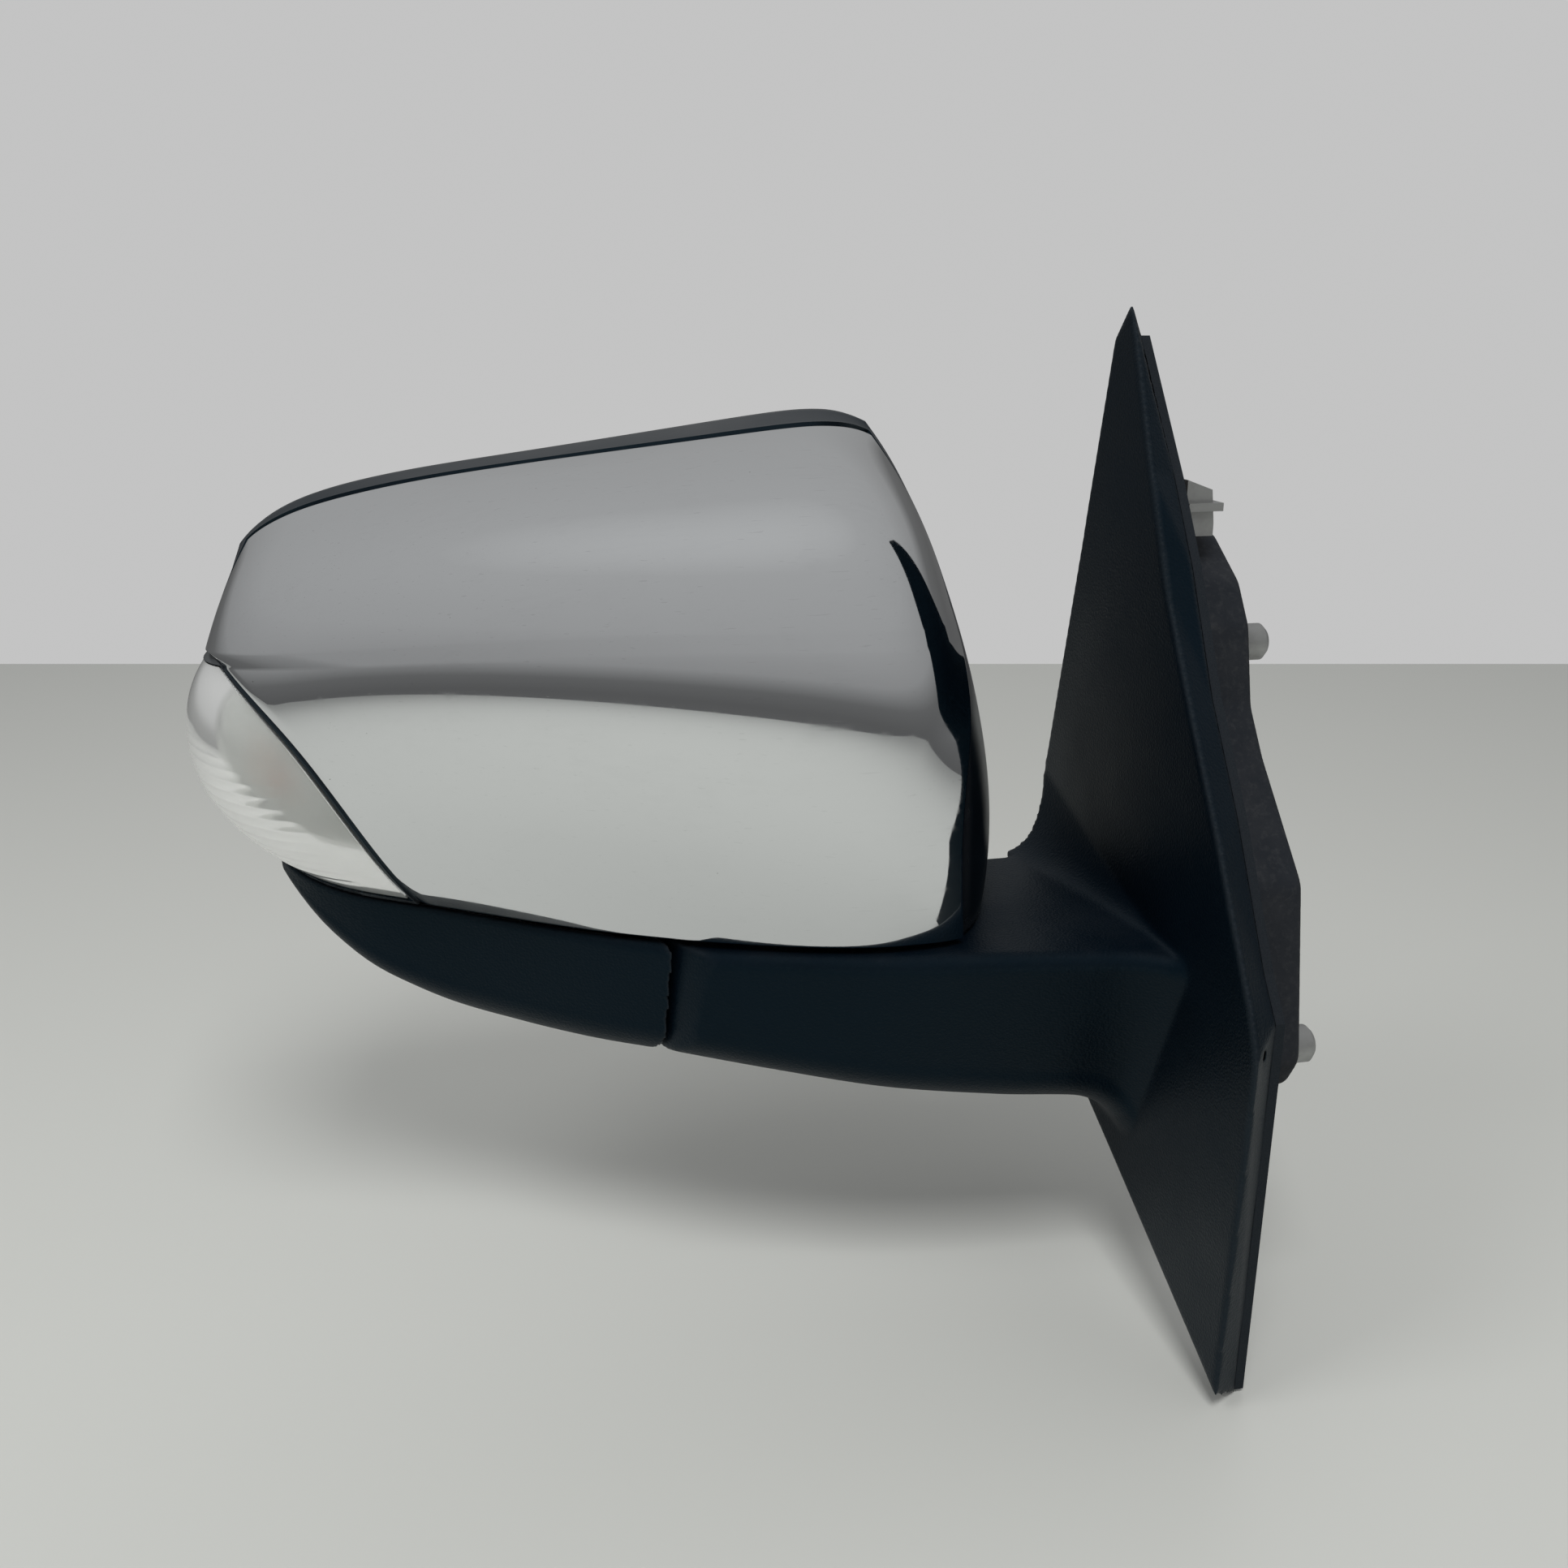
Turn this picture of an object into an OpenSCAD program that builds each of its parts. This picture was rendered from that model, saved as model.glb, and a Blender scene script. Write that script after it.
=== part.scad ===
// Right-hand door mirror with a chrome head, a turn-signal lamp and a folding arm.
// Axes: +X towards the vehicle, +Y rearwards (the glass side), +Z up.
// The origin lies on the door plane, inside the gasket.

/* [Head] */
// Y of the rim plane at the back of the head
rim_y = 98; // [96:1:100]
// Wall of the moulded housing
wall = 2.6; // [2:0.1:3]
// Thickness of the chrome cap
cap_t = 2.2; // [1.8:0.1:2.6]
// Thickness of the lamp lens
lens_t = 2.4; // [2:0.1:2.8]
// How far the lens bulges past the cap
lens_bulge = 6; // [3:0.5:7]

/* [Fold pivot] */
// X of the fold axis
pivot_x = -125; // [-126:0.5:-124]
// Y of the fold axis
pivot_y = 46; // [45:0.5:47]
// Radius of the round end of the arm
split_r = 47; // [46.5:0.1:47.2]
// Outer radius of the hollow pivot shaft
shaft_r = 12; // [11:0.5:12]
// Inner radius of the hollow pivot shaft
shaft_bore_r = 8; // [7:0.5:9]

/* [Arm and sail] */
// Z of the top of the arm
arm_top = -4.4; // [-5:0.1:-4.2]
// X of the outboard face of the sail
sail_x = -14; // [-15:0.5:-13]
// Wall of the sail and arm moulding
sail_wall = 2.8; // [2.4:0.1:3.2]
// Thickness of the door gasket
gasket_t = 3; // [2.5:0.5:3]

/* [Door fixing] */
// X of the ends of the three threaded bosses
boss_end = 31; // [29:1:33]
// Outer radius of a threaded boss
boss_r = 6; // [5.5:0.5:6.5]
// Core radius of the M6 thread in a boss
thread_r = 2.5; // [2.4:0.1:2.6]
// Depth of the thread in a boss
thread_depth = 18; // [14:1:20]
// X of the inboard face of the seal block
block_x = 22; // [20:1:24]
// Radius of the harness passage through the grommet
harness_r = 5; // [4:0.5:6]

/* [Glass and drive] */
// X of the centre of the glass joint
ball_x = -172; // [-173:0.5:-171]
// Y of the centre of the glass joint
ball_y = 79.5; // [79.3:0.1:79.7]
// Z of the centre of the glass joint
ball_z = 76; // [75:0.5:77]
// Distance from the glass joint to each jackscrew
screw_arm = 28; // [27.5:0.5:28.5]
// Thickness of the mirror glass
glass_t = 2.2; // [1.8:0.1:2.4]

/* [Hidden] */

black = [0.10, 0.105, 0.115];
dark = [0.06, 0.06, 0.065];
chrome = [0.82, 0.84, 0.86];
cast = [0.55, 0.56, 0.57];
steel = [0.66, 0.67, 0.69];
gap = 0.6;
eps = 0.01;

// ---------- the head's outer surface: a cubic B-spline patch ----------
// Rows run from the bottom edge to the top of the rim, columns from the inboard rim to the outboard rim.
head_net = [
    [[-40, 98, -1], [-46, 68, -1], [-60, 24, -2], [-80, -8, -3], [-130, 2, -3],
     [-190, 28, -3], [-246, 58, 2], [-292, 58, 12], [-298, 98, 34]],
    [[-36, 98, 22], [-43, 68, 20], [-58, 22, 20], [-80, -18, 20], [-132, -10, 20],
     [-195, 10, 20], [-258, 38, 18], [-316, 56, 32], [-304, 98, 50]],
    [[-44, 98, 58], [-50, 68, 58], [-62, 22, 60], [-84, -24, 62], [-136, -20, 64],
     [-200, -2, 64], [-266, 26, 60], [-324, 60, 60], [-305, 98, 70]],
    [[-56, 98, 96], [-62, 70, 98], [-74, 26, 102], [-94, -12, 108], [-140, -12, 110],
     [-206, 2, 108], [-266, 28, 100], [-310, 64, 92], [-301, 98, 88]],
    [[-70, 98, 132], [-76, 74, 136], [-88, 42, 142], [-106, 18, 146], [-146, 20, 142],
     [-206, 34, 138], [-258, 52, 127], [-298, 76, 112], [-298, 98, 102]],
    [[-84, 98, 151], [-92, 98, 155], [-104, 98, 156], [-122, 98, 154], [-150, 98, 150],
     [-206, 98, 142], [-256, 98, 136], [-284, 98, 127], [-294, 98, 115]]
];

// Knot i of a clamped uniform cubic spline with n control points
function knot(i, n) = max(0, min(1, (i - 3) / (n - 3)));
// Blending functions of degree d at t, one per control point
function blend(t, n, d = 3) =
    d == 0
    ? [for (i = [0 : n + 2]) (knot(i, n) <= t && t < knot(i + 1, n)) ? 1 : 0]
    : let (low = blend(t, n, d - 1))
      [for (i = [0 : n + 2 - d]) ramp(t, knot(i, n), knot(i + d, n)) * low[i]
          + (1 - ramp(t, knot(i + 1, n), knot(i + d + 1, n))) * low[i + 1]];
function ramp(t, a, b) = a == b ? (t < a ? 0 : 1) : (t - a) / (b - a);
function inside(t) = max(0, min(1 - 1e-9, t));
function spline(net, t) = blend(inside(t), len(net)) * net;
function head_point(u, v) =
    let (across = blend(inside(u), len(head_net[0])))
    blend(inside(v), len(head_net)) * [for (row = head_net) across * row];
function unit(a) = a / norm(a);
// Outward normal, read a little inside the edges
function head_normal(u, v) =
    let (a = max(0.012, min(0.988, u)), b = max(0.012, min(0.988, v)), h = 0.004)
    unit(cross(head_point(a, b + h) - head_point(a, b - h), head_point(a + h, b) - head_point(a - h, b)));
function head_at(u, v, depth) = head_point(u, v) - depth * head_normal(u, v);

// ---------- borders on that surface ----------
// v of the lens's top edge and of the cap's top edge, and u of their outboard edges
lens_top = 0.56;
cap_top = 0.968;
rim_u = 0.972;
// Inboard border of the cap, border between cap and lens, and outboard border of the cap, against v
function cap_in(v) = spline([0.28, 0.31, 0.31, 0.11, 0.03, 0.025], v);
function lens_in(v) = spline([0.82, 0.815, 0.83, 0.875, 0.915], v / lens_top);
function cap_out(v) = v < lens_top + eps ? lens_in(v) : rim_u;

// ---------- closed solids from point grids ----------
function mix(a, b, t) = a + (b - a) * t;
function quads(rows, cols, base, flip) = [
    for (j = [0 : rows - 2], i = [0 : cols - 2])
        let (a = base + j * cols + i, b = a + 1, c = a + cols, d = c + 1, last = i + j == rows + cols - 4)
        each flip ? (last ? [[a, d, b], [a, c, d]] : [[a, c, b], [b, c, d]])
             : (last ? [[a, b, d], [a, d, c]] : [[a, b, c], [b, d, c]])
];
// A sheet between two equal grids of points, closed round its four edges
module sheet(outer, inner) {
    rows = len(outer);
    cols = len(outer[0]);
    n = rows * cols;
    rim = concat(
        [for (i = [0 : cols - 1]) i],
        [for (j = [1 : rows - 1]) j * cols + cols - 1],
        [for (i = [cols - 2 : -1 : 0]) (rows - 1) * cols + i],
        [for (j = [rows - 2 : -1 : 1]) j * cols]
    );
    m = len(rim);
    edge = [
        for (k = [0 : m - 1])
            let (a = rim[k], b = rim[(k + 1) % m])
            each [[a, a + n, b], [b, a + n, b + n]]
    ];
    points = concat([for (r = outer) each r], [for (r = inner) each r]);
    polyhedron(points, concat(quads(rows, cols, 0, false), quads(rows, cols, n, true), edge));
}
// A tube of closed sections, capped at both ends
module loft(sections) {
    n = len(sections[0]);
    m = len(sections);
    side = [
        for (j = [0 : m - 2], i = [0 : n - 1])
            let (a = j * n + i, b = j * n + (i + 1) % n, c = a + n, d = b + n)
            each [[a, c, b], [b, c, d]]
    ];
    ends = [[for (i = [0 : n - 1]) i], [for (i = [n - 1 : -1 : 0]) (m - 1) * n + i]];
    polyhedron([for (s = sections) each s], concat(side, ends));
}

// ---------- the head as a solid bag, at a depth below its outer surface ----------
// The grid's columns and rows follow the cap's borders, with a close pair at each.
cap_step = cap_t + gap;
seam = 0.0015;
bag_cols = 34;
bag_rows = 19;
cap_cols = [7, 26];
cap_rows = 16;
function bag_u(i, v, edge = seam) =
    let (a = cap_in(v), b = cap_out(v), first = cap_cols[0], last = cap_cols[1])
    i < first ? (a - edge) * i / (first - 1)
    : i <= last ? mix(a + edge, b - edge, (i - first) / (last - first))
    : mix(b + edge, 1, (i - last - 1) / (bag_cols - last - 2));
function bag_v(j) =
    j < 9 ? lens_top * j / 8
    : j < cap_rows ? mix(lens_top + 2 * eps, cap_top - seam, (j - 9) / (cap_rows - 10))
    : mix(cap_top + seam, 1, (j - cap_rows) / (bag_rows - cap_rows - 1));
function under_cap(i, j) = i >= cap_cols[0] && i <= cap_cols[1] && j < cap_rows;
module bag(depth, step, back_y, floor_up) {
    grid = [
        for (j = [0 : bag_rows - 1]) [
            for (i = [0 : bag_cols - 1])
                let (
                    v = bag_v(j),
                    drop = under_cap(i, j) ? step : 0,
                    p = head_at(bag_u(i, v), v, depth + drop),
                    z = j == 0 ? head_at(bag_u(i, v), v, drop).z + floor_up : p.z
                )
                (i == 0 || i == bag_cols - 1 || j == bag_rows - 1) ? [p.x, back_y, z] : [p.x, p.y, z]
        ]
    ];
    floor_row = [for (p = grid[0]) [p.x, back_y, p.z]];
    n = bag_rows * bag_cols;
    top_row = n - bag_cols;
    floor_faces = [
        for (i = [0 : bag_cols - 2])
            let (a = i, b = i + 1, c = n + i, d = n + i + 1)
            each i == 0 ? [[a, d, b]] : i == bag_cols - 2 ? [[a, c, b]] : [[a, c, b], [b, c, d]]
    ];
    back = concat(
        [for (j = [0 : bag_rows - 1]) j * bag_cols],
        [for (i = [1 : bag_cols - 1]) top_row + i],
        [for (j = [bag_rows - 2 : -1 : 0]) j * bag_cols + bag_cols - 1],
        [for (i = [bag_cols - 2 : -1 : 1]) n + i]
    );
    points = concat([for (r = grid) each r], floor_row);
    polyhedron(points, concat(quads(bag_rows, bag_cols, 0, false), floor_faces, [back]));
}
// Outline of the rim, seen from behind, as X and Z
function flat(p) = [p.x, p.z];
rim_outline = concat(
    [for (v = [0 : 0.1 : 0.9]) flat(head_point(0, v))],
    [for (u = [0 : 0.05 : 0.95]) flat(head_point(u, 1))],
    [for (v = [1 : -0.125 : 0.05]) flat(head_point(1, v))],
    [for (u = [1 : -0.05 : 0.05]) flat(head_point(u, 0))]
);

// ---------- small helpers ----------
// Extrudes an outline of Y and Z from x0 to x1
module along_x(x0, x1) translate([x0, 0, 0]) rotate([90, 0, 90]) linear_extrude(x1 - x0) children();
// Extrudes an outline of X and Z from y0 to y1
module along_y(y0, y1) translate([0, y1, 0]) rotate([90, 0, 0]) linear_extrude(y1 - y0) children();
module rod_x(r, x0, x1, y, z) translate([x0, y, z]) rotate([0, 90, 0]) cylinder(h = x1 - x0, r = r, $fn = 48);
module rod_y(r, y0, y1, x, z)
    translate([x, y0, z]) rotate([-90, 0, 0]) cylinder(h = y1 - y0, r = r, $fn = 48);
module rod_z(r, z0, z1, x, y) translate([x, y, z0]) cylinder(h = z1 - z0, r = r, $fn = 64);
module ring_z(r_in, r_out, z0, z1, x = pivot_x, y = pivot_y)
    difference() {
        rod_z(r_out, z0, z1, x, y);
        rod_z(r_in, z0 - 1, z1 + 1, x, y);
    }
// Keeps a boolean of sheets and lofts as one triangle mesh
module meshed() resize([0, 0, 0]) children();
// A convex outline with every side moved inwards by d
function wrap(a, i) = a[(i + len(a)) % len(a)];
function side_normal(a, i) = let (t = unit(wrap(a, i + 1) - wrap(a, i))) [-t.y, t.x];
function inset(a, d) = [
    for (i = [0 : len(a) - 1])
        let (n0 = side_normal(a, i - 1), n1 = side_normal(a, i))
        a[i] + d * (n0 + n1) / (1 + n0 * n1)
];
function at_x(a, x) = [for (p = a) [x, p.x, p.y]];

// ---------- sail and arm ----------
// Outlines in Y and Z, counted up from the top tip and down the front edge
sail_face = [
    [42, 190], [20, 140], [4, 107], [-19, 72], [-44, 36], [-68, -1], [-75, -16],
    [-69, -131], [18, -94], [47, -82], [108, -57], [95, 25], [71, 113], [54, 178]
];
sail_rim = [
    [58, 181], [25, 137], [8, 111], [-11, 75], [-33, 43], [-56, 3], [-65, -9],
    [-62, -137], [19, -97], [48, -85], [110.5, -58.5], [97.5, 25], [73, 114], [60, 172]
];
sail_bevel = 10.5;
// Arm stations: x, front y, rear y, bottom z, and how far the bottom edge leans back
arm_stations = [
    [-176, 17, 86, -43, 2], [-135, 3, 84, -50, 4], [-100, -7, 81, -56.5, 7],
    [-60, -13.5, 79, -63, 12], [-24, -20, 80, -69, 20], [sail_x + 2.5, -24, 83, -76, 30]
];
// Lower cover stations, along the head's lower edge: u there and bottom z
cover_low = [
    [0.945, 11], [0.93, 3.5], [0.9, -11], [0.87, -22], [0.83, -31.5],
    [0.79, -38], [0.74, -42], [0.68, -45], [0.6, -47], [0.49, -50]
];
cover_under = 0.8;
// The same as arm stations, then the top z
cover_stations = [
    for (s = cover_low)
        let (p = head_point(s[0], 0), top = p.z - cover_under)
        [p.x, p.y + 6.5 * (s[0] - 0.72), 77 + 14 * s[0], s[1], min(4, (top - s[1]) / 6), top]
];
// A rounded section in the plane of Y and Z, all its walls moved inwards by d
function corner(y, z, r, from) = [for (k = [0 : 3]) let (t = from + 30 * k) [y + r * cos(t), z + r * sin(t)]];
function section(s, d, top, r_top, r_low) =
    let (
        y0 = s[1] + d, y1 = s[2] - d, z0 = s[3] + d, z1 = top - d, lean = s[4],
        h = (z1 - z0) / 2.6, a = min(r_top, h), b = min(r_low, h, (y1 - y0 - lean - 8) / 2.2)
    )
    at_x(concat(
        corner(y1 - a, z1 - a, a, 0), corner(y0 + a, z1 - a, a, 90),
        corner(y0 + lean + b, z0 + b, b, 180), corner(y1 - 8 - b, z0 + b, b, 270)
    ), s[0]);
module arm_body(d, extra = 0) {
    cuts = [for (s = arm_stations) section(s, d, arm_top, 5, 13)];
    inner = [for (p = cuts[len(cuts) - 1]) [p.x + extra, p.y, p.z]];
    intersection() {
        loft(extra > 0 ? concat(cuts, [inner]) : cuts);
        union() {
            translate([pivot_x, -60, -100]) cube([-pivot_x, 200, 120]);
            rod_z(split_r - d, -100, 20, pivot_x, pivot_y);
        }
    }
}
// Blind bosses inside the sail for the screws that hold it to the bracket
sail_bosses = [[-10, 50], [-47.5, -30], [90, -28]];
screw_core = 1.6;
boss_top = -7.6;
plate_x = [-10.6, -4.2];
module sail_cover() color(black) meshed() {
    difference() {
        union() {
            loft([
                at_x(sail_face, sail_x),
                at_x(sail_rim, sail_x + sail_bevel),
                at_x(sail_rim, -gasket_t - 0.1)
            ]);
            arm_body(0);
            for (b = sail_bosses) rod_x(4.4, sail_x + 1, boss_top, b.x, b.y);
            hull() loft([
                [[sail_x + 1, 96, 27], [sail_x + 1, 82, -12], [sail_x + 1, -16, -12], [sail_x + 1, -16, -5]],
                [[sail_x - 3, 92, 14], [sail_x - 12, 79, -8], [sail_x - 3, -13, -8], [sail_x - 1, -15, -5]]
            ]);
        }
        difference() {
            loft([
                at_x(inset(sail_face, sail_wall), sail_x + sail_wall),
                at_x(inset(sail_rim, sail_wall), sail_x + sail_bevel + 1),
                at_x(inset(sail_rim, sail_wall), 1)
            ]);
            for (b = sail_bosses) rod_x(4.4, sail_x, boss_top, b.x, b.y);
        }
        for (b = sail_bosses) rod_x(screw_core + 0.05, sail_x + 1.2, 0, b.x, b.y);
        arm_body(sail_wall, 8);
        rod_z(31, -20, 10, pivot_x, pivot_y);
    }
}
gasket_out = inset(sail_rim, 0.8);
// The inner outline leaves out the short side at the tip
gasket_in = inset([for (i = [0 : len(sail_rim) - 2]) sail_rim[i]], 7);
module door_gasket() color(dark) along_x(-gasket_t, 0) difference() {
    polygon(gasket_out);
    polygon(gasket_in);
}

// ---------- bracket ----------
boss_points = [[24, 83.5], [-27.5, -36], [72, 4]];
boss_taper = 1.5;
// Depth of the drill's point, and how much shallower each tapped hole is than the one before
drill_point = 1.4;
depth_step = 0.5;
module tapped_hole(depth) rotate([0, 90, 0]) rotate_extrude($fn = 48)
    polygon([[0, -depth - drill_point], [thread_r, -depth], [thread_r, 1], [0, 1]]);
tab_y = [27, 43];
// The tab starts inside the gasket and turns forwards past it
tab_root_y = 35;
tab_x = 2.2;
tab_outline = [[tab_x, 118], [12, 118], [12, 122], [10.8, 132.6], [3.5, 135.3], [tab_x, 135.8]];
pivot_boss_r = 25;
pivot_boss_z = [-39, -7];
plate_outline = [
    [30, 138], [24, 104], [-14, 62], [-42, 12], [-55, -14], [-55, -46], [-20, -58],
    [60, -60], [92, -50], [99, -38], [98, -20], [84, 40], [66, 100], [50, 138]
];
harness_at = [54, 62];
module base_bracket() color(cast) difference() {
    union() {
        along_x(plate_x[0], plate_x[1]) polygon(plate_outline);
        for (b = boss_points) {
            rod_x(boss_r, -5, boss_end - boss_taper, b.x, b.y);
            translate([boss_end - boss_taper, b.x, b.y]) rotate([0, 90, 0])
                cylinder(h = boss_taper, r1 = boss_r, r2 = boss_r - boss_taper, $fn = 48);
        }
        translate([-5, tab_root_y, 119]) cube([tab_x + 6, tab_y[1] - tab_root_y - 0.6, 15]);
        along_y(tab_y[0], tab_y[1]) polygon(tab_outline);
        along_y(tab_y[0] - 2, tab_y[1] - 0.3) translate([tab_x + 0.1, 126]) square([11.7, 2.6]);
        translate([0, 0, pivot_boss_z[0]]) linear_extrude(25)
            polygon([[-9, 4], [-9, 66], [-112, 68], [-112, 24]]);
        rod_z(pivot_boss_r, pivot_boss_z[0], pivot_boss_z[1], pivot_x, pivot_y);
    }
    for (i = [0 : len(boss_points) - 1])
        translate([boss_end, boss_points[i].x, boss_points[i].y]) tapped_hole(thread_depth - depth_step * i);
    rod_z(shaft_r + 0.05, -60, 10, pivot_x, pivot_y);
    rod_x(10, -20, 1, harness_at.x, harness_at.y);
    for (b = sail_bosses) {
        rod_x(4.7, -20, boss_top + 0.1, b.x, b.y);
        rod_x(screw_core + 0.2, -20, 1, b.x, b.y);
    }
}
block_outline = [
    [61, 117], [44, 117], [24, 104], [15, 91], [9, 66], [-1, 52], [-31, 20], [-40, -36],
    [-34, -46], [-29, -49], [20, -54], [76, -52], [82, -40], [82, 20], [71, 80], [66, 104]
];
module seal_block() color([0.16, 0.16, 0.17]) difference() {
    along_x(-4, block_x) polygon(block_outline);
    for (b = boss_points) rod_x(boss_r + 0.3, -10, block_x + 1, b.x, b.y);
    rod_x(8.05, -10, block_x + 1, harness_at.x, harness_at.y);
}
grommet_depth = 7;
module harness_grommet() color(dark) difference() {
    union() {
        rod_x(8, block_x - grommet_depth, block_x + 1, harness_at.x, harness_at.y);
        rod_x(11, block_x + 0.1, block_x + 2.6, harness_at.x, harness_at.y);
    }
    rod_x(harness_r, block_x - grommet_depth - 1, block_x + 4, harness_at.x, harness_at.y);
}
module bracket_screws() color(steel) for (b = sail_bosses) {
    rod_x(screw_core, sail_x + 1.6, plate_x[1] + 0.5, b.x, b.y);
    rod_x(3.4, plate_x[1] + 0.02, plate_x[1] + 2.2, b.x, b.y);
}

// ---------- fold pivot ----------
hub_z = 0.2;
spring_z = [12.9, 44];
spring_wire = 1.9;
spring_turns = 6;
module pivot_shaft() color(steel) difference() {
    union() {
        rod_z(shaft_r, pivot_boss_z[0] - 1, 49, pivot_x, pivot_y);
        rod_z(16, pivot_boss_z[0] - 3.5, pivot_boss_z[0] - 0.05, pivot_x, pivot_y);
    }
    rod_z(shaft_bore_r, -50, 60, pivot_x, pivot_y);
}
module detent_ring() color(steel) ring_z(shaft_r + 0.1, 24, -6.95, -3.6);
module pivot_bush() color([0.85, 0.84, 0.8]) ring_z(shaft_r + 0.1, 24, -3.3, hub_z - 0.05);
module fold_spring() color([0.3, 0.31, 0.33]) {
    mean_r = shaft_r + 1 + spring_wire;
    rise = spring_z[1] - spring_z[0] - 2 * spring_wire;
    sides = 8;
    steps = 20 * spring_turns;
    loft([
        for (k = [0 : steps])
            let (t = 360 * spring_turns * k / steps, z = spring_z[0] + spring_wire + rise * k / steps)
            [for (q = [0 : sides - 1])
                let (a = -360 * q / sides, r = mean_r + spring_wire * cos(a))
                [pivot_x + r * cos(t), pivot_y + r * sin(t), z + spring_wire * sin(a)]]
    ]);
}
module spring_retainer() color(steel) ring_z(shaft_r + 0.05, 18, 44.2, 46.4);
module retaining_clip() color(steel) difference() {
    ring_z(shaft_r + 0.02, 15, 46.5, 47.7);
    translate([pivot_x, pivot_y - 4, 40]) cube([20, 8, 12]);
}

// ---------- head frame ----------
case_r = 40;
frame_y = [46, 49.6];
case_y = [49.7, 63];
cover_y = [63.1, 72];
screw_holes = [for (t = [90, 212, 328]) [ball_x + 33 * cos(t), ball_z + 33 * sin(t)]];
foot_screws = [[-172, 66], [-200, 62], [-100, 74]];
foot_z = 3.4;
foot_t = 4;
screw_seat = -0.2;
cover_screw = foot_screws[1];
cover_screw_low = -34;
module head_frame() color([0.2, 0.2, 0.21]) difference() {
    union() {
        rod_z(29, hub_z, foot_z + foot_t, pivot_x, pivot_y);
        rod_z(17, hub_z, 12.6, pivot_x, pivot_y);
        translate([0, 0, foot_z]) linear_extrude(foot_t) polygon([
            [-100, 30], [-88, 60], [-90, 82], [-160, 80], [-206, 77], [-212, 66],
            [-209, 56], [-196, 46], [-150, 28]
        ]);
        along_y(frame_y[0], frame_y[1]) polygon([
            [-146, foot_z + 0.1], [-146, 44], [-134, 60], [-132, 92], [-146, 112], [-172, 118], [-200, 112],
            [-214, 92], [-214, 54], [-204, foot_z + 0.1]
        ]);
        for (x = [-150, -202]) translate([x, 0, 0]) rotate([90, 0, 90]) linear_extrude(4)
            polygon([[frame_y[1] - 1, foot_z + 1], [76, foot_z + 1], [frame_y[1] - 1, 34]]);
    }
    rod_z(shaft_r + 0.06, -10, 20, pivot_x, pivot_y);
    rod_y(12, 40, 60, ball_x, ball_z);
    for (p = screw_holes) rod_y(1.5, 40, 60, p.x, p.y);
    for (p = foot_screws) rod_z(2.05, -10, 20, p.x, p.y);
}

// ---------- housing, cap and lower cover ----------
opening_edge = 9;
floor_t = 2;
function lens_edge(v, s, room) = mix(lens_in(v) + 0.007 - room, 0.983 + room, s);
function lens_v(t, room) = mix(0.014 - room, lens_top - 0.006 + room, t);
// Height of the lens's bulge over its own field, 0 at the edges and 1 in the middle
function bulge(s, t) = pow(sin(180 * s), 0.8) * pow(sin(180 * t), 0.7);
function field(cols, rows, base, scale, room) = [
    for (j = [0 : rows]) [
        for (i = [0 : cols])
            let (v = lens_v(j / rows, room), s = i / cols)
            head_at(lens_edge(v, s, room), v, base + scale * bulge(s, j / rows))
    ]
];
module glass_outline(edge)
    offset(r = 14, $fn = 40) offset(delta = -edge - 14) difference() {
        polygon(rim_outline);
        polygon([[-320, 90], [-320, -20], [-214, -20], [-214, -6], [-262, 26], [-292, 70], [-296, 90]]);
    }
module mirror_housing() color(black) meshed() difference() {
    bag(0, cap_step, rim_y, 0);
    difference() {
        intersection() {
            bag(wall, cap_step, rim_y + 1, floor_t);
            translate([-400, -100, -50]) cube([500, 100 + rim_y - 3, 300]);
        }
        for (p = foot_screws) rod_z(5, -20, foot_z - 0.05, p.x, p.y);
    }
    along_y(rim_y - 10, rim_y + 10)
        offset(r = 8, $fn = 40) offset(delta = -opening_edge - 8) polygon(rim_outline);
    sheet(field(8, 10, -8, 0, 0.004), field(8, 10, 12, 0, 0.004));
    rod_z(31, -20, 4, pivot_x, pivot_y);
    for (p = foot_screws) {
        rod_z(2.3, -20, foot_z + 1, p.x, p.y);
        rod_z(4.3, -20, screw_seat, p.x, p.y);
    }
}
module chrome_cap() color(chrome) {
    grid = [
        for (depth = [0, cap_t]) [
            for (j = [0 : cap_rows - 1]) [
                for (i = [cap_cols[0] : cap_cols[1]])
                    let (v = bag_v(j) + (j == 0 ? 0.003 : 0) - (j == cap_rows - 1 ? 0.004 : 0))
                    head_at(bag_u(i, v, 2 * seam), v, depth)
            ]
        ]
    ];
    sheet(grid[0], grid[1]);
}
cover_gap = 2.2;
cover_tower_low = -43;
module cover_body(d, up, first = 0)
    loft([
        for (i = [first : len(cover_stations) - 1])
            let (s = cover_stations[i])
            section(s, d, s[5] + up, up > 0 ? 0.2 : 3, 13)
    ]);
module lower_head_cover() color(black) meshed() difference() {
    union() {
        difference() {
            cover_body(0, 0);
            rod_z(split_r + cover_gap, -100, 40, pivot_x, pivot_y);
            difference() {
                cover_body(2.4, 12, 2);
                rod_z(split_r + cover_gap + 2.4, -100, 40, pivot_x, pivot_y);
            }
            translate([pivot_x, 0, -100]) cube([100, 100, 200]);
        }
        rod_z(6.5, cover_tower_low, -2.5, cover_screw.x, cover_screw.y);
    }
    rod_z(2.3, -60, 0, cover_screw.x, cover_screw.y);
    rod_z(4.3, -60, cover_screw_low + 3, cover_screw.x, cover_screw.y);
}
module housing_screws() color(steel) for (p = foot_screws) {
    top = p == cover_screw ? cover_screw_low + 2.9 : screw_seat - 0.1;
    rod_z(2, top - 1, foot_z + foot_t + 0.4, p.x, p.y);
    rod_z(4, top - 2.8, top, p.x, p.y);
}

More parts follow.
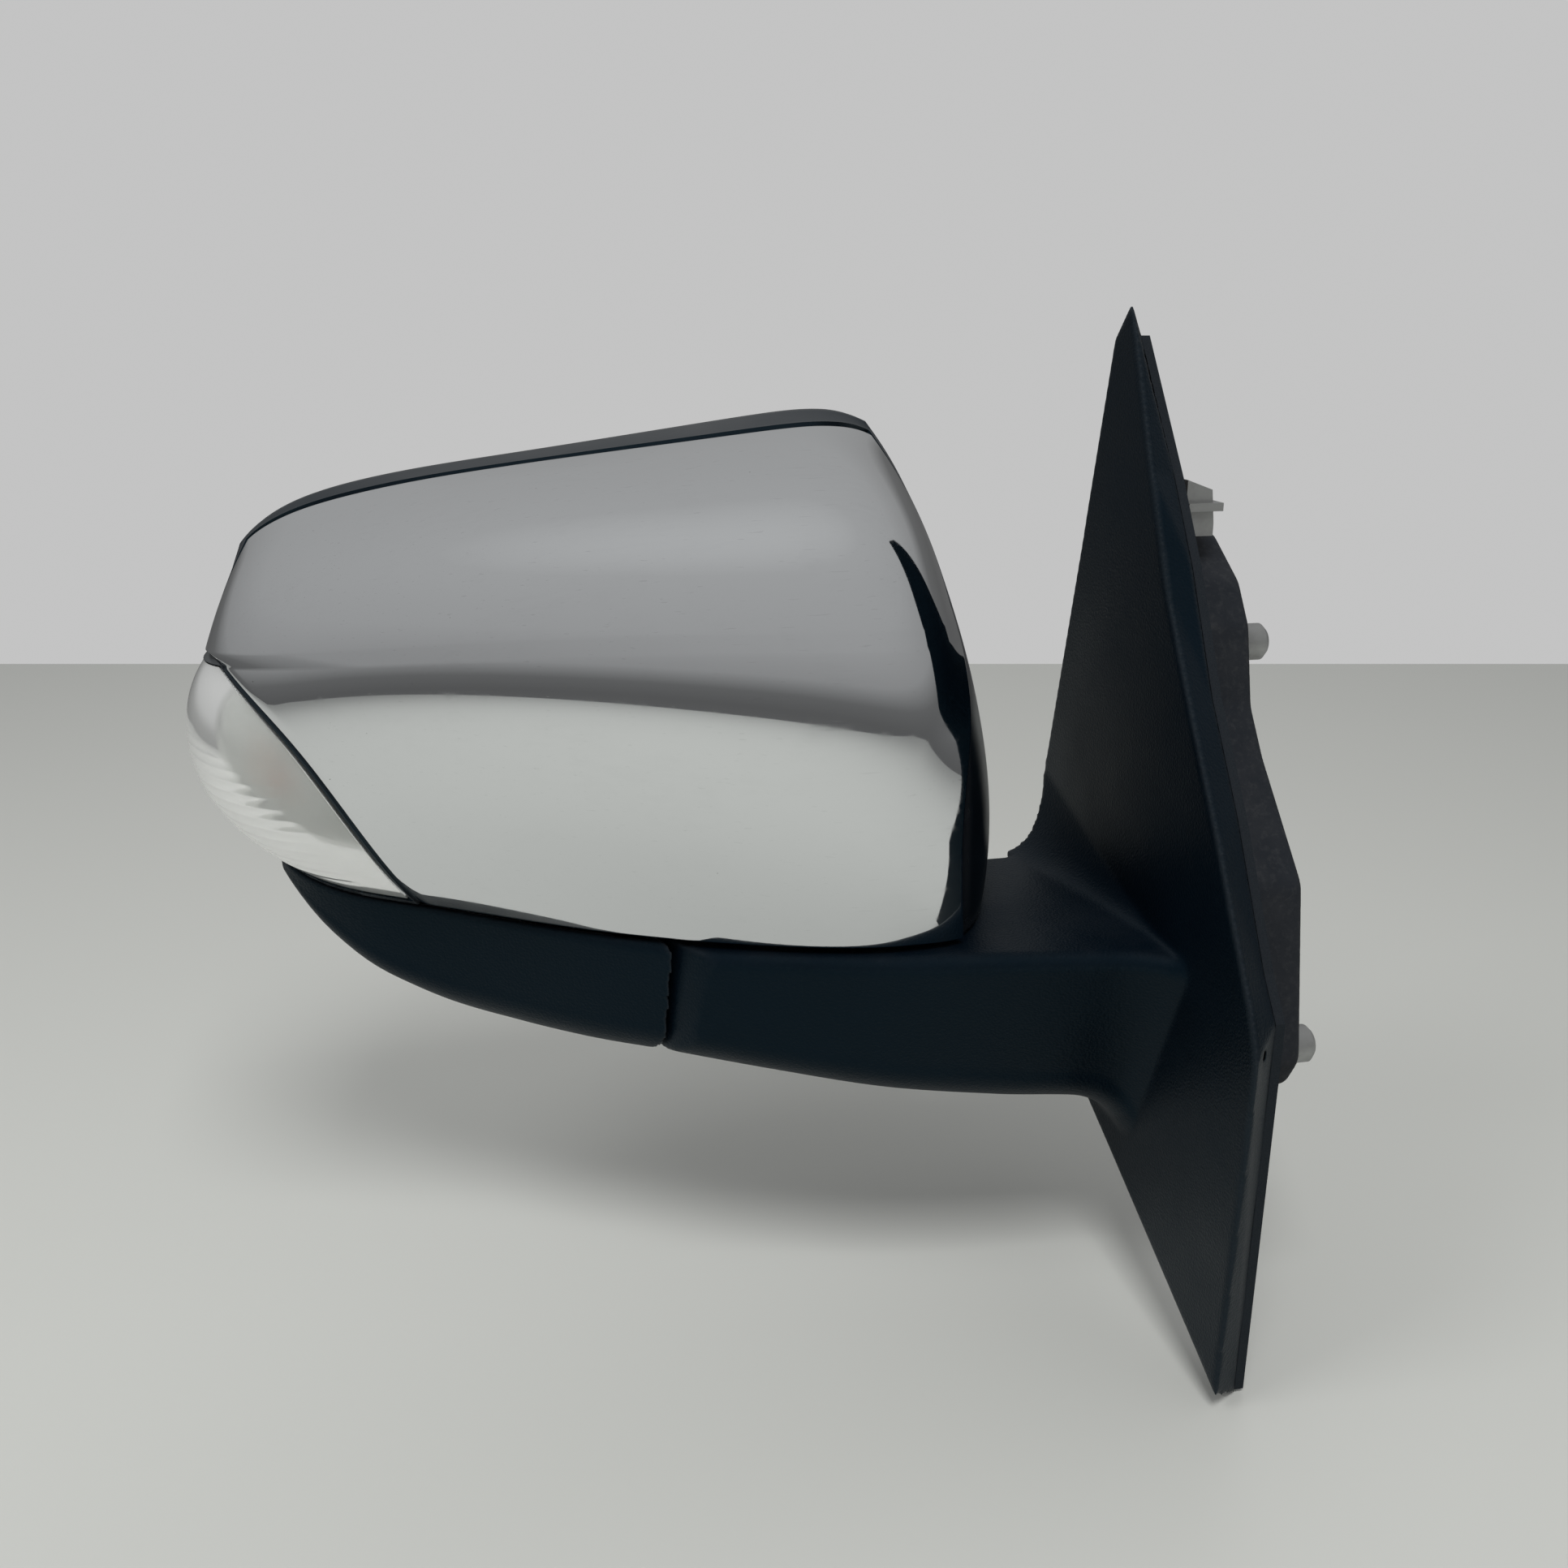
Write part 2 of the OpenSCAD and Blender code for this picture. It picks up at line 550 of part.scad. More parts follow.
// ---------- turn-signal lamp ----------
lamp_u = 0.885;
lamp_v = 0.24;
module at_lamp(depth) {
    n = head_normal(lamp_u, lamp_v);
    translate(head_at(lamp_u, lamp_v, depth)) rotate([0, acos(-n.z), atan2(-n.y, -n.x)]) children();
}
module lamp_lens() color([0.92, 0.94, 0.95, 0.6])
    sheet(field(14, 14, 0.4, -lens_bulge, 0), field(14, 14, 0.4 + lens_t, -lens_bulge, 0));
module lamp_body() color([0.85, 0.85, 0.83]) meshed() difference() {
    union() {
        sheet(field(12, 12, 3.2, 9, -0.003), field(12, 12, 5.2, 9, -0.003));
        at_lamp(12) cylinder(h = 8, r = 8, $fn = 32);
    }
    at_lamp(4) cylinder(h = 30, r = 6.2, $fn = 32);
}
module lamp_bulb() color([0.95, 0.55, 0.2]) {
    at_lamp(8) sphere(r = 3.6, $fn = 32);
    at_lamp(11) cylinder(h = 4, r = 2.4, $fn = 32);
}
module bulb_holder() color([0.25, 0.25, 0.26]) difference() {
    at_lamp(13) cylinder(h = 9, r = 6, $fn = 32);
    at_lamp(12) cylinder(h = 3.2, r = 2.5, $fn = 32);
}

// ---------- glass drive ----------
motor_y = 58.6;
motor_r = 6.4;
motor_at = [[ball_x + 11, ball_z + 2], [ball_x - 12, ball_z - 16]];
pan_at = [ball_x + screw_arm, ball_z];
tilt_at = [ball_x, ball_z - screw_arm];
wheel_y = [64.6, 69.4];
module actuator_case() color([0.12, 0.12, 0.13]) difference() {
    rod_y(case_r, case_y[0], case_y[1], ball_x, ball_z);
    difference() {
        rod_y(case_r - 2, case_y[0] + 1.8, case_y[1] + 1, ball_x, ball_z);
        for (p = screw_holes) rod_y(3.8, case_y[0], case_y[1] + 2, p.x, p.y);
        for (p = motor_at) translate([p.x - 5, case_y[0], p.y + 4]) cube([10, motor_y - case_y[0] - 2, 10]);
    }
    for (p = screw_holes) rod_y(1.7, 40, 80, p.x, p.y);
    for (p = motor_at) rod_z(motor_r + 0.05, p.y - 2, p.y + 24, p.x, motor_y);
}
ear_x = [9.6, 13];
module actuator_cover() color([0.12, 0.12, 0.13]) difference() {
    union() {
        difference() {
            rod_y(case_r, cover_y[0], cover_y[1], ball_x, ball_z);
            difference() {
                rod_y(case_r - 2, cover_y[0] - 1, cover_y[1] - 1.8, ball_x, ball_z);
                for (p = screw_holes) rod_y(3.8, 50, 90, p.x, p.y);
            }
        }
        for (side = [-1, 1])
            translate([ball_x + side * (ear_x[0] + ear_x[1]) / 2 - 1.7, cover_y[1] - 1, ball_z - 4.5])
                cube([3.4, ball_y - cover_y[1] + 4, 9]);
    }
    rod_x(2.05, ball_x - 20, ball_x + 20, ball_y, ball_z);
    for (p = screw_holes) rod_y(1.7, 40, 90, p.x, p.y);
    for (p = [pan_at, tilt_at]) rod_y(3.4, 60, 90, p.x, p.y);
}
module actuator_screws() color(steel) for (p = screw_holes) {
    rod_y(1.45, frame_y[0] + 0.5, cover_y[1] + 0.1, p.x, p.y);
    rod_y(2.8, cover_y[1] + 0.05, cover_y[1] + 1.8, p.x, p.y);
}
module motor(p) {
    rod_z(motor_r, p.y, p.y + 20, p.x, motor_y);
    rod_z(2.4, p.y - 1.4, p.y + 1, p.x, motor_y);
    rod_z(2, p.y + 19, p.y + 21.2, p.x, motor_y);
}
module pan_motor() color([0.7, 0.71, 0.72]) motor(motor_at[0]);
module tilt_motor() color([0.7, 0.71, 0.72]) motor(motor_at[1]);
wheel_teeth = 18;
module wheel(p) along_y(wheel_y[0], wheel_y[1]) translate(p) difference() {
    polygon([
        for (k = [0 : wheel_teeth - 1], q = [[0, 8], [0.3, 8], [0.45, 9.4], [0.85, 9.4]])
            let (t = 360 * (k + q.x) / wheel_teeth) q.y * [cos(t), sin(t)]
    ]);
    circle(r = 3.3, $fn = 48);
}
module pan_wheel() color([0.9, 0.88, 0.8]) wheel(pan_at);
module tilt_wheel() color([0.9, 0.88, 0.8]) wheel(tilt_at);
module jackscrew(p) {
    rod_y(3, wheel_y[0] - 6, wheel_y[1] + 6, p.x, p.y);
    rod_y(1.8, wheel_y[1] + 5, ball_y, p.x, p.y);
    translate([p.x, ball_y, p.y]) sphere(r = 3.2, $fn = 48);
}
module pan_jackscrew() color([0.88, 0.88, 0.86]) jackscrew(pan_at);
module tilt_jackscrew() color([0.88, 0.88, 0.86]) jackscrew(tilt_at);
module gimbal_ring() color([0.75, 0.76, 0.78]) {
    difference() {
        rod_y(8.4, ball_y - 2.2, ball_y + 2.2, ball_x, ball_z);
        rod_y(4, ball_y - 3, ball_y + 3, ball_x, ball_z);
    }
    for (side = [-1, 1]) {
        rod_x(2, ball_x + (side < 0 ? -ear_x[1] : 8), ball_x + (side < 0 ? -8 : ear_x[1]), ball_y, ball_z);
        rod_z(2, ball_z + (side < 0 ? -ear_x[1] : 8), ball_z + (side < 0 ? -8 : ear_x[1]), ball_x, ball_y);
    }
}

// ---------- glass ----------
holder_y = [85.4, 87.6];
heater_y = [87.7, 88.1];
glass_y = 88.2;
glass_edge = 14.5;
module glass_holder() color([0.13, 0.13, 0.14]) difference() {
    union() {
        along_y(holder_y[0], holder_y[1]) glass_outline(glass_edge + 0.8);
        for (p = [pan_at, tilt_at]) rod_y(6.6, ball_y - 2.9, holder_y[1], p.x, p.y);
        for (side = [-1, 1])
            translate([ball_x - 4.5, ball_y - 3.4, ball_z + side * (ear_x[0] + ear_x[1]) / 2 - 1.7])
                cube([9, holder_y[0] - ball_y + 4, 3.4]);
    }
    for (p = [pan_at, tilt_at]) rod_y(4, ball_y - 4, ball_y + 4, p.x, p.y);
    rod_z(2.05, ball_z - 20, ball_z + 20, ball_x, ball_y);
}
module heater_pad() color([0.5, 0.3, 0.15]) along_y(heater_y[0], heater_y[1]) glass_outline(glass_edge + 6);
module mirror_glass() color([0.75, 0.8, 0.85]) along_y(glass_y, glass_y + glass_t) glass_outline(glass_edge);

sail_cover();
door_gasket();
base_bracket();
seal_block();
harness_grommet();
bracket_screws();
pivot_shaft();
detent_ring();
fold_spring();
spring_retainer();
retaining_clip();
pivot_bush();
head_frame();
mirror_housing();
chrome_cap();
lower_head_cover();
housing_screws();
lamp_lens();
lamp_body();
lamp_bulb();
bulb_holder();
actuator_case();
actuator_cover();
actuator_screws();
pan_motor();
tilt_motor();
pan_wheel();
tilt_wheel();
pan_jackscrew();
tilt_jackscrew();
gimbal_ring();
glass_holder();
heater_pad();
mirror_glass();
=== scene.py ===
"""Looks for the car side mirror: dense skins, procedural materials, soft studio light."""

import math

import bmesh
import bpy
import numpy as np
from mathutils import Matrix, Vector


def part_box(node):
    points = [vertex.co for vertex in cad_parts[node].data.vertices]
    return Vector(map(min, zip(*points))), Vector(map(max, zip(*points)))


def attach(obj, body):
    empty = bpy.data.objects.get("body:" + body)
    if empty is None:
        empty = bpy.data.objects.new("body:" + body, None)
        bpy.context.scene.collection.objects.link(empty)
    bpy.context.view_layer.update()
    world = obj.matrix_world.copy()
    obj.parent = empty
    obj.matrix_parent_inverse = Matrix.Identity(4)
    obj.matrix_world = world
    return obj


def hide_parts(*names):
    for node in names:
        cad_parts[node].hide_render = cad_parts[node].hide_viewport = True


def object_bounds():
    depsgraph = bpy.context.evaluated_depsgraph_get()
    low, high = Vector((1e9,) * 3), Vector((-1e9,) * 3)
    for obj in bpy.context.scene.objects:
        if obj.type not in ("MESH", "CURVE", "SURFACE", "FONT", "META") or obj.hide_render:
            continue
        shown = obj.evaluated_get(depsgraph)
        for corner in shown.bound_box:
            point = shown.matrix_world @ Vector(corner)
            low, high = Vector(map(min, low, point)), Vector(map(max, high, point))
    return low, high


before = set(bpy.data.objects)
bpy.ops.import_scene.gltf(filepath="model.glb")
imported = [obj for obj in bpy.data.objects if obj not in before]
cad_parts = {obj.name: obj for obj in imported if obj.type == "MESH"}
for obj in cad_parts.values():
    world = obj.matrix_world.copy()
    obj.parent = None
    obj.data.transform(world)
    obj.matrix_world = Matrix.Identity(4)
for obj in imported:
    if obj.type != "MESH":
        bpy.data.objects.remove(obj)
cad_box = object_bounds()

# Lengths below are in millimetres unless they say otherwise.
MM = 0.001
scene = bpy.context.scene

# ---------------------------------------------------------------- the head's outer surface
# Control points: rows from the bottom edge to the top of the rim, columns from the inboard rim
# to the outboard rim. The surface's own coordinates are u along the rows and v up the columns.
HEAD_NET = np.array([
    [(-40, 98, -1), (-46, 68, -1), (-60, 24, -2), (-80, -8, -3), (-130, 2, -3),
     (-190, 28, -3), (-246, 58, 2), (-292, 58, 12), (-298, 98, 34)],
    [(-36, 98, 22), (-43, 68, 20), (-58, 22, 20), (-80, -18, 20), (-132, -10, 20),
     (-195, 10, 20), (-258, 38, 18), (-316, 56, 32), (-304, 98, 50)],
    [(-44, 98, 58), (-50, 68, 58), (-62, 22, 60), (-84, -24, 62), (-136, -20, 64),
     (-200, -2, 64), (-266, 26, 60), (-324, 60, 60), (-305, 98, 70)],
    [(-56, 98, 96), (-62, 70, 98), (-74, 26, 102), (-94, -12, 108), (-140, -12, 110),
     (-206, 2, 108), (-266, 28, 100), (-310, 64, 92), (-301, 98, 88)],
    [(-70, 98, 132), (-76, 74, 136), (-88, 42, 142), (-106, 18, 146), (-146, 20, 142),
     (-206, 34, 138), (-258, 52, 127), (-298, 76, 112), (-298, 98, 102)],
    [(-84, 98, 151), (-92, 98, 155), (-104, 98, 156), (-122, 98, 154), (-150, 98, 150),
     (-206, 98, 142), (-256, 98, 136), (-284, 98, 127), (-294, 98, 115)],
], float)
# The rim's plane, and the walls of the housing, the cap and the lens
RIM_Y = 98.0
WALL = 2.6
CAP_T = 2.2
LENS_T = 2.4
# How deep the housing steps down under the cap
CAP_STEP = CAP_T + 0.6
# Borders: v at the top of the lens and of the cap, u at the outboard edge of the cap
LENS_TOP = 0.56
CAP_TOP = 0.968
RIM_U = 0.972
# Half of the seam round the cap, and how far outboard of their common border the cap ends
# and the lens starts, all as shares of the surface
SEAM = 0.0015
CAP_END = 0.0055
LENS_START = 0.007
# The lens's other borders: u at its outboard edge, v at its bottom, and v short of LENS_TOP
LENS_OUT = 0.983
LENS_LOW = 0.014
LENS_GAP = 0.006
# The cap's lower inboard edge stands proud: how far, over what width, below what v, over what
# change in v it fades, and how far its border shifts outboard there
CAP_PROUD = 2.8
PROUD_WIDTH = 20
PROUD_TOP = 0.62
PROUD_FADE = 0.25
PROUD_SHIFT = 0.007
# Radii of the cap's edges: inboard and bottom, top, and outboard above the lens
CAP_EDGE_R = 0.9
CAP_TOP_R = 1.2
CAP_OUT_R = 1.0
# The cap's edge rolls inwards beside the lens, and its last part is a satin strip
ROLL_WIDTH = 6.0
ROLL_DROP = 1.5
DEEPEST = 1.9
STRIP_WIDTH = 3.2
# The lens's bulge, then the spacing of its ribs and the width of its frosted band, as shares of
# its field
LENS_BULGE = 6.0
RIB_STEP = 0.046
FROSTED_WIDTH = 0.13
# The fold axis in X and Y, and the screws into the head's foot and their holes' radii
PIVOT = (-125.0, 46.0)
HUB_HOLE_R = 31
FOOT_SCREWS = ((-172, 66), (-200, 62), (-100, 74))
SCREW_HOLE_R = 2.3
SCREW_SEAT_R = 4.3


def basis(count, t):
    """Cubic blending functions of a clamped uniform spline, one column per control point."""
    t = np.clip(np.asarray(t, float), 0, 1 - 1e-9)
    knots = np.concatenate([np.zeros(3), np.linspace(0, 1, count - 2), np.ones(3)])
    low = [np.where((knots[i] <= t) & (t < knots[i + 1]), 1.0, 0.0) for i in range(count + 3)]
    for d in range(1, 4):
        high = []
        for i in range(count + 3 - d):
            a, b = knots[i + d] - knots[i], knots[i + d + 1] - knots[i + 1]
            left = (t - knots[i]) / a * low[i] if a else 0 * t
            right = (knots[i + d + 1] - t) / b * low[i + 1] if b else 0 * t
            high.append(left + right)
        low = high
    return np.stack(low, -1)


def spline(net, t):
    """Value at t of a clamped cubic spline with these control values."""
    return basis(len(net), t) @ np.array(net, float)


def head_point(u, v):
    """Point on the head's outer surface."""
    u, v = np.broadcast_arrays(np.asarray(u, float), np.asarray(v, float))
    return np.einsum("...i,...j,jik->...k", basis(9, u), basis(6, v), HEAD_NET)


def unit(a):
    """Vectors at length 1."""
    return a / np.linalg.norm(a, axis=-1, keepdims=True)


def head_normal(u, v):
    """Outward normal, read a little inside the edges."""
    a, b, h = np.clip(u, 0.012, 0.988), np.clip(v, 0.012, 0.988), 0.004
    along_v = head_point(a, b + h) - head_point(a, b - h)
    return unit(np.cross(along_v, head_point(a + h, b) - head_point(a - h, b)))


def head_at(u, v, depth):
    """Point at a depth below the head's outer surface."""
    depth = np.broadcast_to(depth, np.broadcast(u, v).shape)
    return head_point(u, v) - depth[..., None] * head_normal(u, v)


def cap_in(v):
    """Inboard border of the cap, as u against v."""
    return spline([0.28, 0.31, 0.31, 0.11, 0.03, 0.025], v)


def lens_in(v):
    """Border between the cap and the lens, as u against v."""
    return spline([0.82, 0.815, 0.83, 0.875, 0.915], np.asarray(v) / LENS_TOP)


def mix(a, b, t):
    """From a at t = 0 to b at t = 1."""
    return a + (b - a) * t


def grid_lengths(p):
    """Lengths over a grid of points: along its rows, and up its columns."""
    across = np.linalg.norm(np.diff(p, axis=1), axis=2)
    rise = np.linalg.norm(np.diff(p, axis=0), axis=2)
    along = np.concatenate([np.zeros((p.shape[0], 1)), across.cumsum(1)], 1)
    up = np.concatenate([np.zeros((1, p.shape[1])), rise.cumsum(0)], 0)
    return along, up


# ---------------------------------------------------------------- mesh helpers
def new_object(name, verts, faces):
    """Mesh object from points in millimetres."""
    mesh = bpy.data.meshes.new(name)
    mesh.from_pydata([tuple(p * MM) for p in np.asarray(verts, float)], [], faces)
    mesh.update()
    obj = bpy.data.objects.new(name, mesh)
    scene.collection.objects.link(obj)
    return obj


def grid_faces(rows, cols, base=0, flip=False):
    """Quads of a grid of vertices that starts at index base."""
    faces = []
    for j in range(rows - 1):
        for i in range(cols - 1):
            a = base + j * cols + i
            quad = (a, a + 1, a + cols + 1, a + cols)
            faces.append(quad[::-1] if flip else quad)
    return faces


def rim_loop(rows, cols):
    """Indices round the edge of a grid, anticlockwise as seen from outside."""
    bottom = list(range(cols))
    right = [j * cols + cols - 1 for j in range(1, rows)]
    top = [(rows - 1) * cols + i for i in range(cols - 2, -1, -1)]
    left = [j * cols for j in range(rows - 2, 0, -1)]
    return bottom + right + top + left


def sheet(name, outer, inner):
    """Closed solid between two equal grids of points, the outer one facing outwards."""
    rows, cols = outer.shape[:2]
    count = rows * cols
    faces = grid_faces(rows, cols) + grid_faces(rows, cols, count, True)
    loop = rim_loop(rows, cols)
    for k, a in enumerate(loop):
        b = loop[(k + 1) % len(loop)]
        faces.append((a, a + count, b + count, b))
    return new_object(name, np.concatenate([outer.reshape(-1, 3), inner.reshape(-1, 3)]), faces)


def loft(name, sections):
    """Closed tube through equal closed sections, capped at both ends."""
    n, m = len(sections[0]), len(sections)
    faces = []
    for j in range(m - 1):
        for i in range(n):
            a, b = j * n + i, j * n + (i + 1) % n
            faces.append((a, a + n, b + n, b))
    faces.append(tuple(range(n)))
    faces.append(tuple((m - 1) * n + i for i in range(n - 1, -1, -1)))
    return new_object(name, np.concatenate(sections), faces)


def face_outwards(obj):
    """Turns a closed mesh's faces outwards."""
    mesh = bmesh.new()
    mesh.from_mesh(obj.data)
    bmesh.ops.recalc_face_normals(mesh, faces=mesh.faces)
    mesh.to_mesh(obj.data)
    mesh.free()
    return obj


def settle(obj):
    """Applies the modifiers of an object."""
    graph = bpy.context.evaluated_depsgraph_get()
    graph.update()
    mesh = bpy.data.meshes.new_from_object(obj.evaluated_get(graph))
    obj.modifiers.clear()
    obj.data = mesh
    return obj


def combine(obj, operation, *tools):
    """Boolean of a closed mesh with others, which are used up."""
    for tool in tools:
        face_outwards(tool)
        step = obj.modifiers.new("cut", "BOOLEAN")
        step.operation = operation
        step.solver = "MANIFOLD"
        step.object = tool
        settle(obj)
        bpy.data.objects.remove(tool)
    return obj


def soften(obj, angle=32):
    """Smooth shading with hard edges above an angle, and normals weighted by face area."""
    mesh = bmesh.new()
    mesh.from_mesh(obj.data)
    limit = math.radians(angle)
    for face in mesh.faces:
        face.smooth = True
    for edge in mesh.edges:
        edge.smooth = len(edge.link_faces) == 2 and edge.calc_face_angle(0) < limit
    mesh.to_mesh(obj.data)
    mesh.free()
    step = obj.modifiers.new("normals", "WEIGHTED_NORMAL")
    step.keep_sharp = True
    return obj


def cylinder(name, r, low, high, centre, axis="z", sides=96):
    """Closed cylinder along an axis, from low to high, centred on the other two coordinates."""
    turn = np.linspace(0, 2 * np.pi, sides, endpoint=False)
    c, s = centre[0] + r * np.cos(turn), centre[1] + r * np.sin(turn)
    order = {"x": (2, 0, 1), "y": (0, 2, 1), "z": (0, 1, 2)}[axis]
    rings = []
    for level in (low, high):
        cols = (c, s, np.full(sides, float(level)))
        rings.append(np.stack([cols[k] for k in order], -1))
    return face_outwards(loft(name, rings))


def prism(name, outline, low, high, axis):
    """Closed prism of an outline of the other two coordinates."""
    outline = np.asarray(outline, float)
    level = {"x": 0, "y": 1, "z": 2}[axis]
    rings = [np.insert(outline, level, float(x), axis=1) for x in (low, high)]
    return face_outwards(loft(name, rings))


def inset(outline, d):
    """Moves every side of an anticlockwise outline inwards."""
    p = np.asarray(outline, float)
    ahead, behind = unit(np.roll(p, -1, 0) - p), unit(p - np.roll(p, 1, 0))
    n1, n0 = (np.stack([-a[:, 1], a[:, 0]], -1) for a in (ahead, behind))
    return p + d * (n0 + n1) / (1 + (n0 * n1).sum(1))[:, None]


def finish_piece(obj, body, slot, materials, *nodes):
    """Gives a skin its materials and body, and puts it in the place of its CAD nodes; its slot is
    not used.
    """
    obj.data.materials.clear()
    for material in materials:
        obj.data.materials.append(material)
    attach(obj, body)
    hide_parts(*nodes)
    return obj


# ---------------------------------------------------------------- materials
class Graph:
    """Builds one Principled material from procedural nodes in object coordinates."""

    def __init__(self, name, colour, rough, metal=0.0, **sockets):
        self.material = bpy.data.materials.new(name)
        self.material.use_nodes = True
        self.tree = self.material.node_tree
        self.shader = self.tree.nodes["Principled BSDF"]
        self.shader.inputs["Base Color"].default_value = (*colour, 1)
        self.shader.inputs["Roughness"].default_value = rough
        self.shader.inputs["Metallic"].default_value = metal
        for key, value in sockets.items():
            self.shader.inputs[key.replace("_", " ")].default_value = value
        self.place = self.add("ShaderNodeTexCoord").outputs["Object"]
        self.bump_out = None

    def add(self, kind, **values):
        node = self.tree.nodes.new(kind)
        for key, value in values.items():
            setattr(node, key, value)
        return node

    def link(self, a, b):
        self.tree.links.new(a, b)

    def stretched(self, scale, turn=(0, 0, 0)):
        """Object coordinates stretched and turned, for a pattern with a grain."""
        node = self.add("ShaderNodeMapping")
        node.inputs["Scale"].default_value = scale
        node.inputs["Rotation"].default_value = turn
        self.link(self.place, node.inputs["Vector"])
        return node.outputs["Vector"]

    def noise(self, size_mm, detail=3.0, rough=0.55, distort=0.0, at=None):
        """Cloudy pattern from 0 to 1, with patches of about this size."""
        node = self.add("ShaderNodeTexNoise")
        node.inputs["Scale"].default_value = 1 / (size_mm * MM)
        node.inputs["Detail"].default_value = detail
        node.inputs["Roughness"].default_value = rough
        node.inputs["Distortion"].default_value = distort
        self.link(at or self.place, node.inputs["Vector"])
        return node.outputs["Fac"]

    def cells(self, size_mm, feature="F1", at=None):
        """Pebbled pattern: the distance from the middle of the nearest cell."""
        node = self.add("ShaderNodeTexVoronoi", feature=feature)
        node.inputs["Scale"].default_value = 1 / (size_mm * MM)
        self.link(at or self.place, node.inputs["Vector"])
        return node.outputs["Distance"]

    def span(self, value, low, high, to_low=0.0, to_high=1.0):
        """Maps low to high onto to_low to to_high, and holds the ends."""
        node = self.add("ShaderNodeMapRange")
        self.link(value, node.inputs["Value"])
        ends = zip(("From Min", "From Max", "To Min", "To Max"), (low, high, to_low, to_high))
        for key, x in ends:
            node.inputs[key].default_value = x
        return node.outputs["Result"]

    def math(self, kind, a, b):
        """Math node of two values, each a number or a socket."""
        node = self.add("ShaderNodeMath", operation=kind)
        for socket, x in zip(node.inputs, (a, b)):
            if isinstance(x, (int, float)):
                socket.default_value = x
            else:
                self.link(x, socket)
        return node.outputs["Value"]

    def tint(self, fac, colour):
        """Mixes a colour over the base colour where fac is high."""
        socket = self.shader.inputs["Base Color"]
        node = self.add("ShaderNodeMix", data_type="RGBA")
        self.link(fac, node.inputs["Factor"])
        if socket.links:
            self.link(socket.links[0].from_socket, node.inputs["A"])
        else:
            node.inputs["A"].default_value = socket.default_value
        node.inputs["B"].default_value = (*colour, 1)
        self.link(node.outputs["Result"], socket)

    def roughen(self, fac, low, high):
        """Roughness that runs from low to high as fac goes from 0 to 1."""
        self.link(self.span(fac, 0, 1, low, high), self.shader.inputs["Roughness"])

    def bump(self, height, depth_mm, strength=1.0):
        """Adds a height pattern to the surface, on top of the patterns before it."""
        node = self.add("ShaderNodeBump")
        node.inputs["Strength"].default_value = strength
        node.inputs["Distance"].default_value = depth_mm * MM
        self.link(height, node.inputs["Height"])
        if self.bump_out:
            self.link(self.bump_out, node.inputs["Normal"])
        self.bump_out = node.outputs["Normal"]
        self.link(self.bump_out, self.shader.inputs["Normal"])

    def upward(self, low=0.2, high=0.9):
        """1 on faces that look up, 0 on the rest."""
        node = self.add("ShaderNodeSeparateXYZ")
        self.link(self.add("ShaderNodeNewGeometry").outputs["Normal"], node.inputs["Vector"])
        return self.span(node.outputs["Z"], low, high)


COOL_SHEEN = (0.42, 0.78, 1.0, 1)


def moulded_black(name, colour, rough, grain_mm, grain_depth, dust=0.10, shine=0.3):
    """Grained black moulding with a cool sheen, some dust and a painted highlight on its rounded
    edges.
    """
    g = Graph(name, colour, rough, Specular_IOR_Level=shine, Specular_Tint=COOL_SHEEN)
    grain = g.cells(grain_mm, "SMOOTH_F1")
    fine = g.noise(grain_mm * 0.5, 3)
    patch = g.noise(38, 3)
    g.tint(g.span(patch, 0.35, 0.75, 0, 0.45), tuple(c * 1.6 for c in colour))
    specks = g.span(g.noise(1.3, 4, 0.7), 0.68, 0.78)
    lying = g.math("MULTIPLY", specks, g.span(g.upward(-0.1, 0.8), 0, 1, 0.2, 1))
    g.tint(g.math("MULTIPLY", lying, dust * 2.2), (0.2, 0.2, 0.195))
    haze = g.math("MULTIPLY", g.upward(0.3, 1.0), g.span(g.noise(22, 4), 0.4, 0.75))
    g.tint(g.math("MULTIPLY", haze, dust * 0.5), (0.16, 0.16, 0.165))
    # Painted highlight: convex edges, picked out by pointiness, are tinted brighter.
    edge = g.span(g.add("ShaderNodeNewGeometry").outputs["Pointiness"], 0.51, 0.56)
    painted_edge_highlight = g.math("MULTIPLY", edge, g.span(fine, 0.3, 0.7, 0.35, 0.9))
    g.tint(painted_edge_highlight, tuple(0.02 + c for c in colour))
    g.roughen(g.math("MULTIPLY", patch, g.span(edge, 0, 1, 1, 0.3)), rough - 0.08, rough + 0.12)
    g.bump(grain, grain_depth, 0.6)
    g.bump(fine, grain_depth * 0.6, 0.5)
    return g.material


def metal(name, colour, rough, brushed=(1, 1, 1), grain=0.8, depth=0.03, dirt=0.3):
    """Machined or drawn metal with fine lines and darker blotches."""
    g = Graph(name, colour, rough, 1.0)
    lines = g.noise(grain, 3, at=g.stretched(brushed))
    blotch = g.noise(9, 4)
    g.tint(g.math("MULTIPLY", g.span(blotch, 0.45, 0.8), dirt), tuple(c * 0.45 for c in colour))
    g.roughen(g.math("MULTIPLY", g.math("ADD", lines, blotch), 0.5), rough - 0.08, rough + 0.16)
    g.bump(lines, depth, 0.5)
    return g.material


def plain_plastic(name, colour, rough, grain=0.9, depth=0.012, **sockets):
    """Smooth moulding with slight blotches in colour and roughness."""
    g = Graph(name, colour, rough, **sockets)
    blotch = g.noise(14, 4)
    g.tint(g.span(blotch, 0.45, 0.85, 0, 0.35), tuple(c * 0.6 for c in colour))
    g.roughen(blotch, rough - 0.08, rough + 0.12)
    g.bump(g.noise(grain, 3), depth, 0.5)
    return g.material


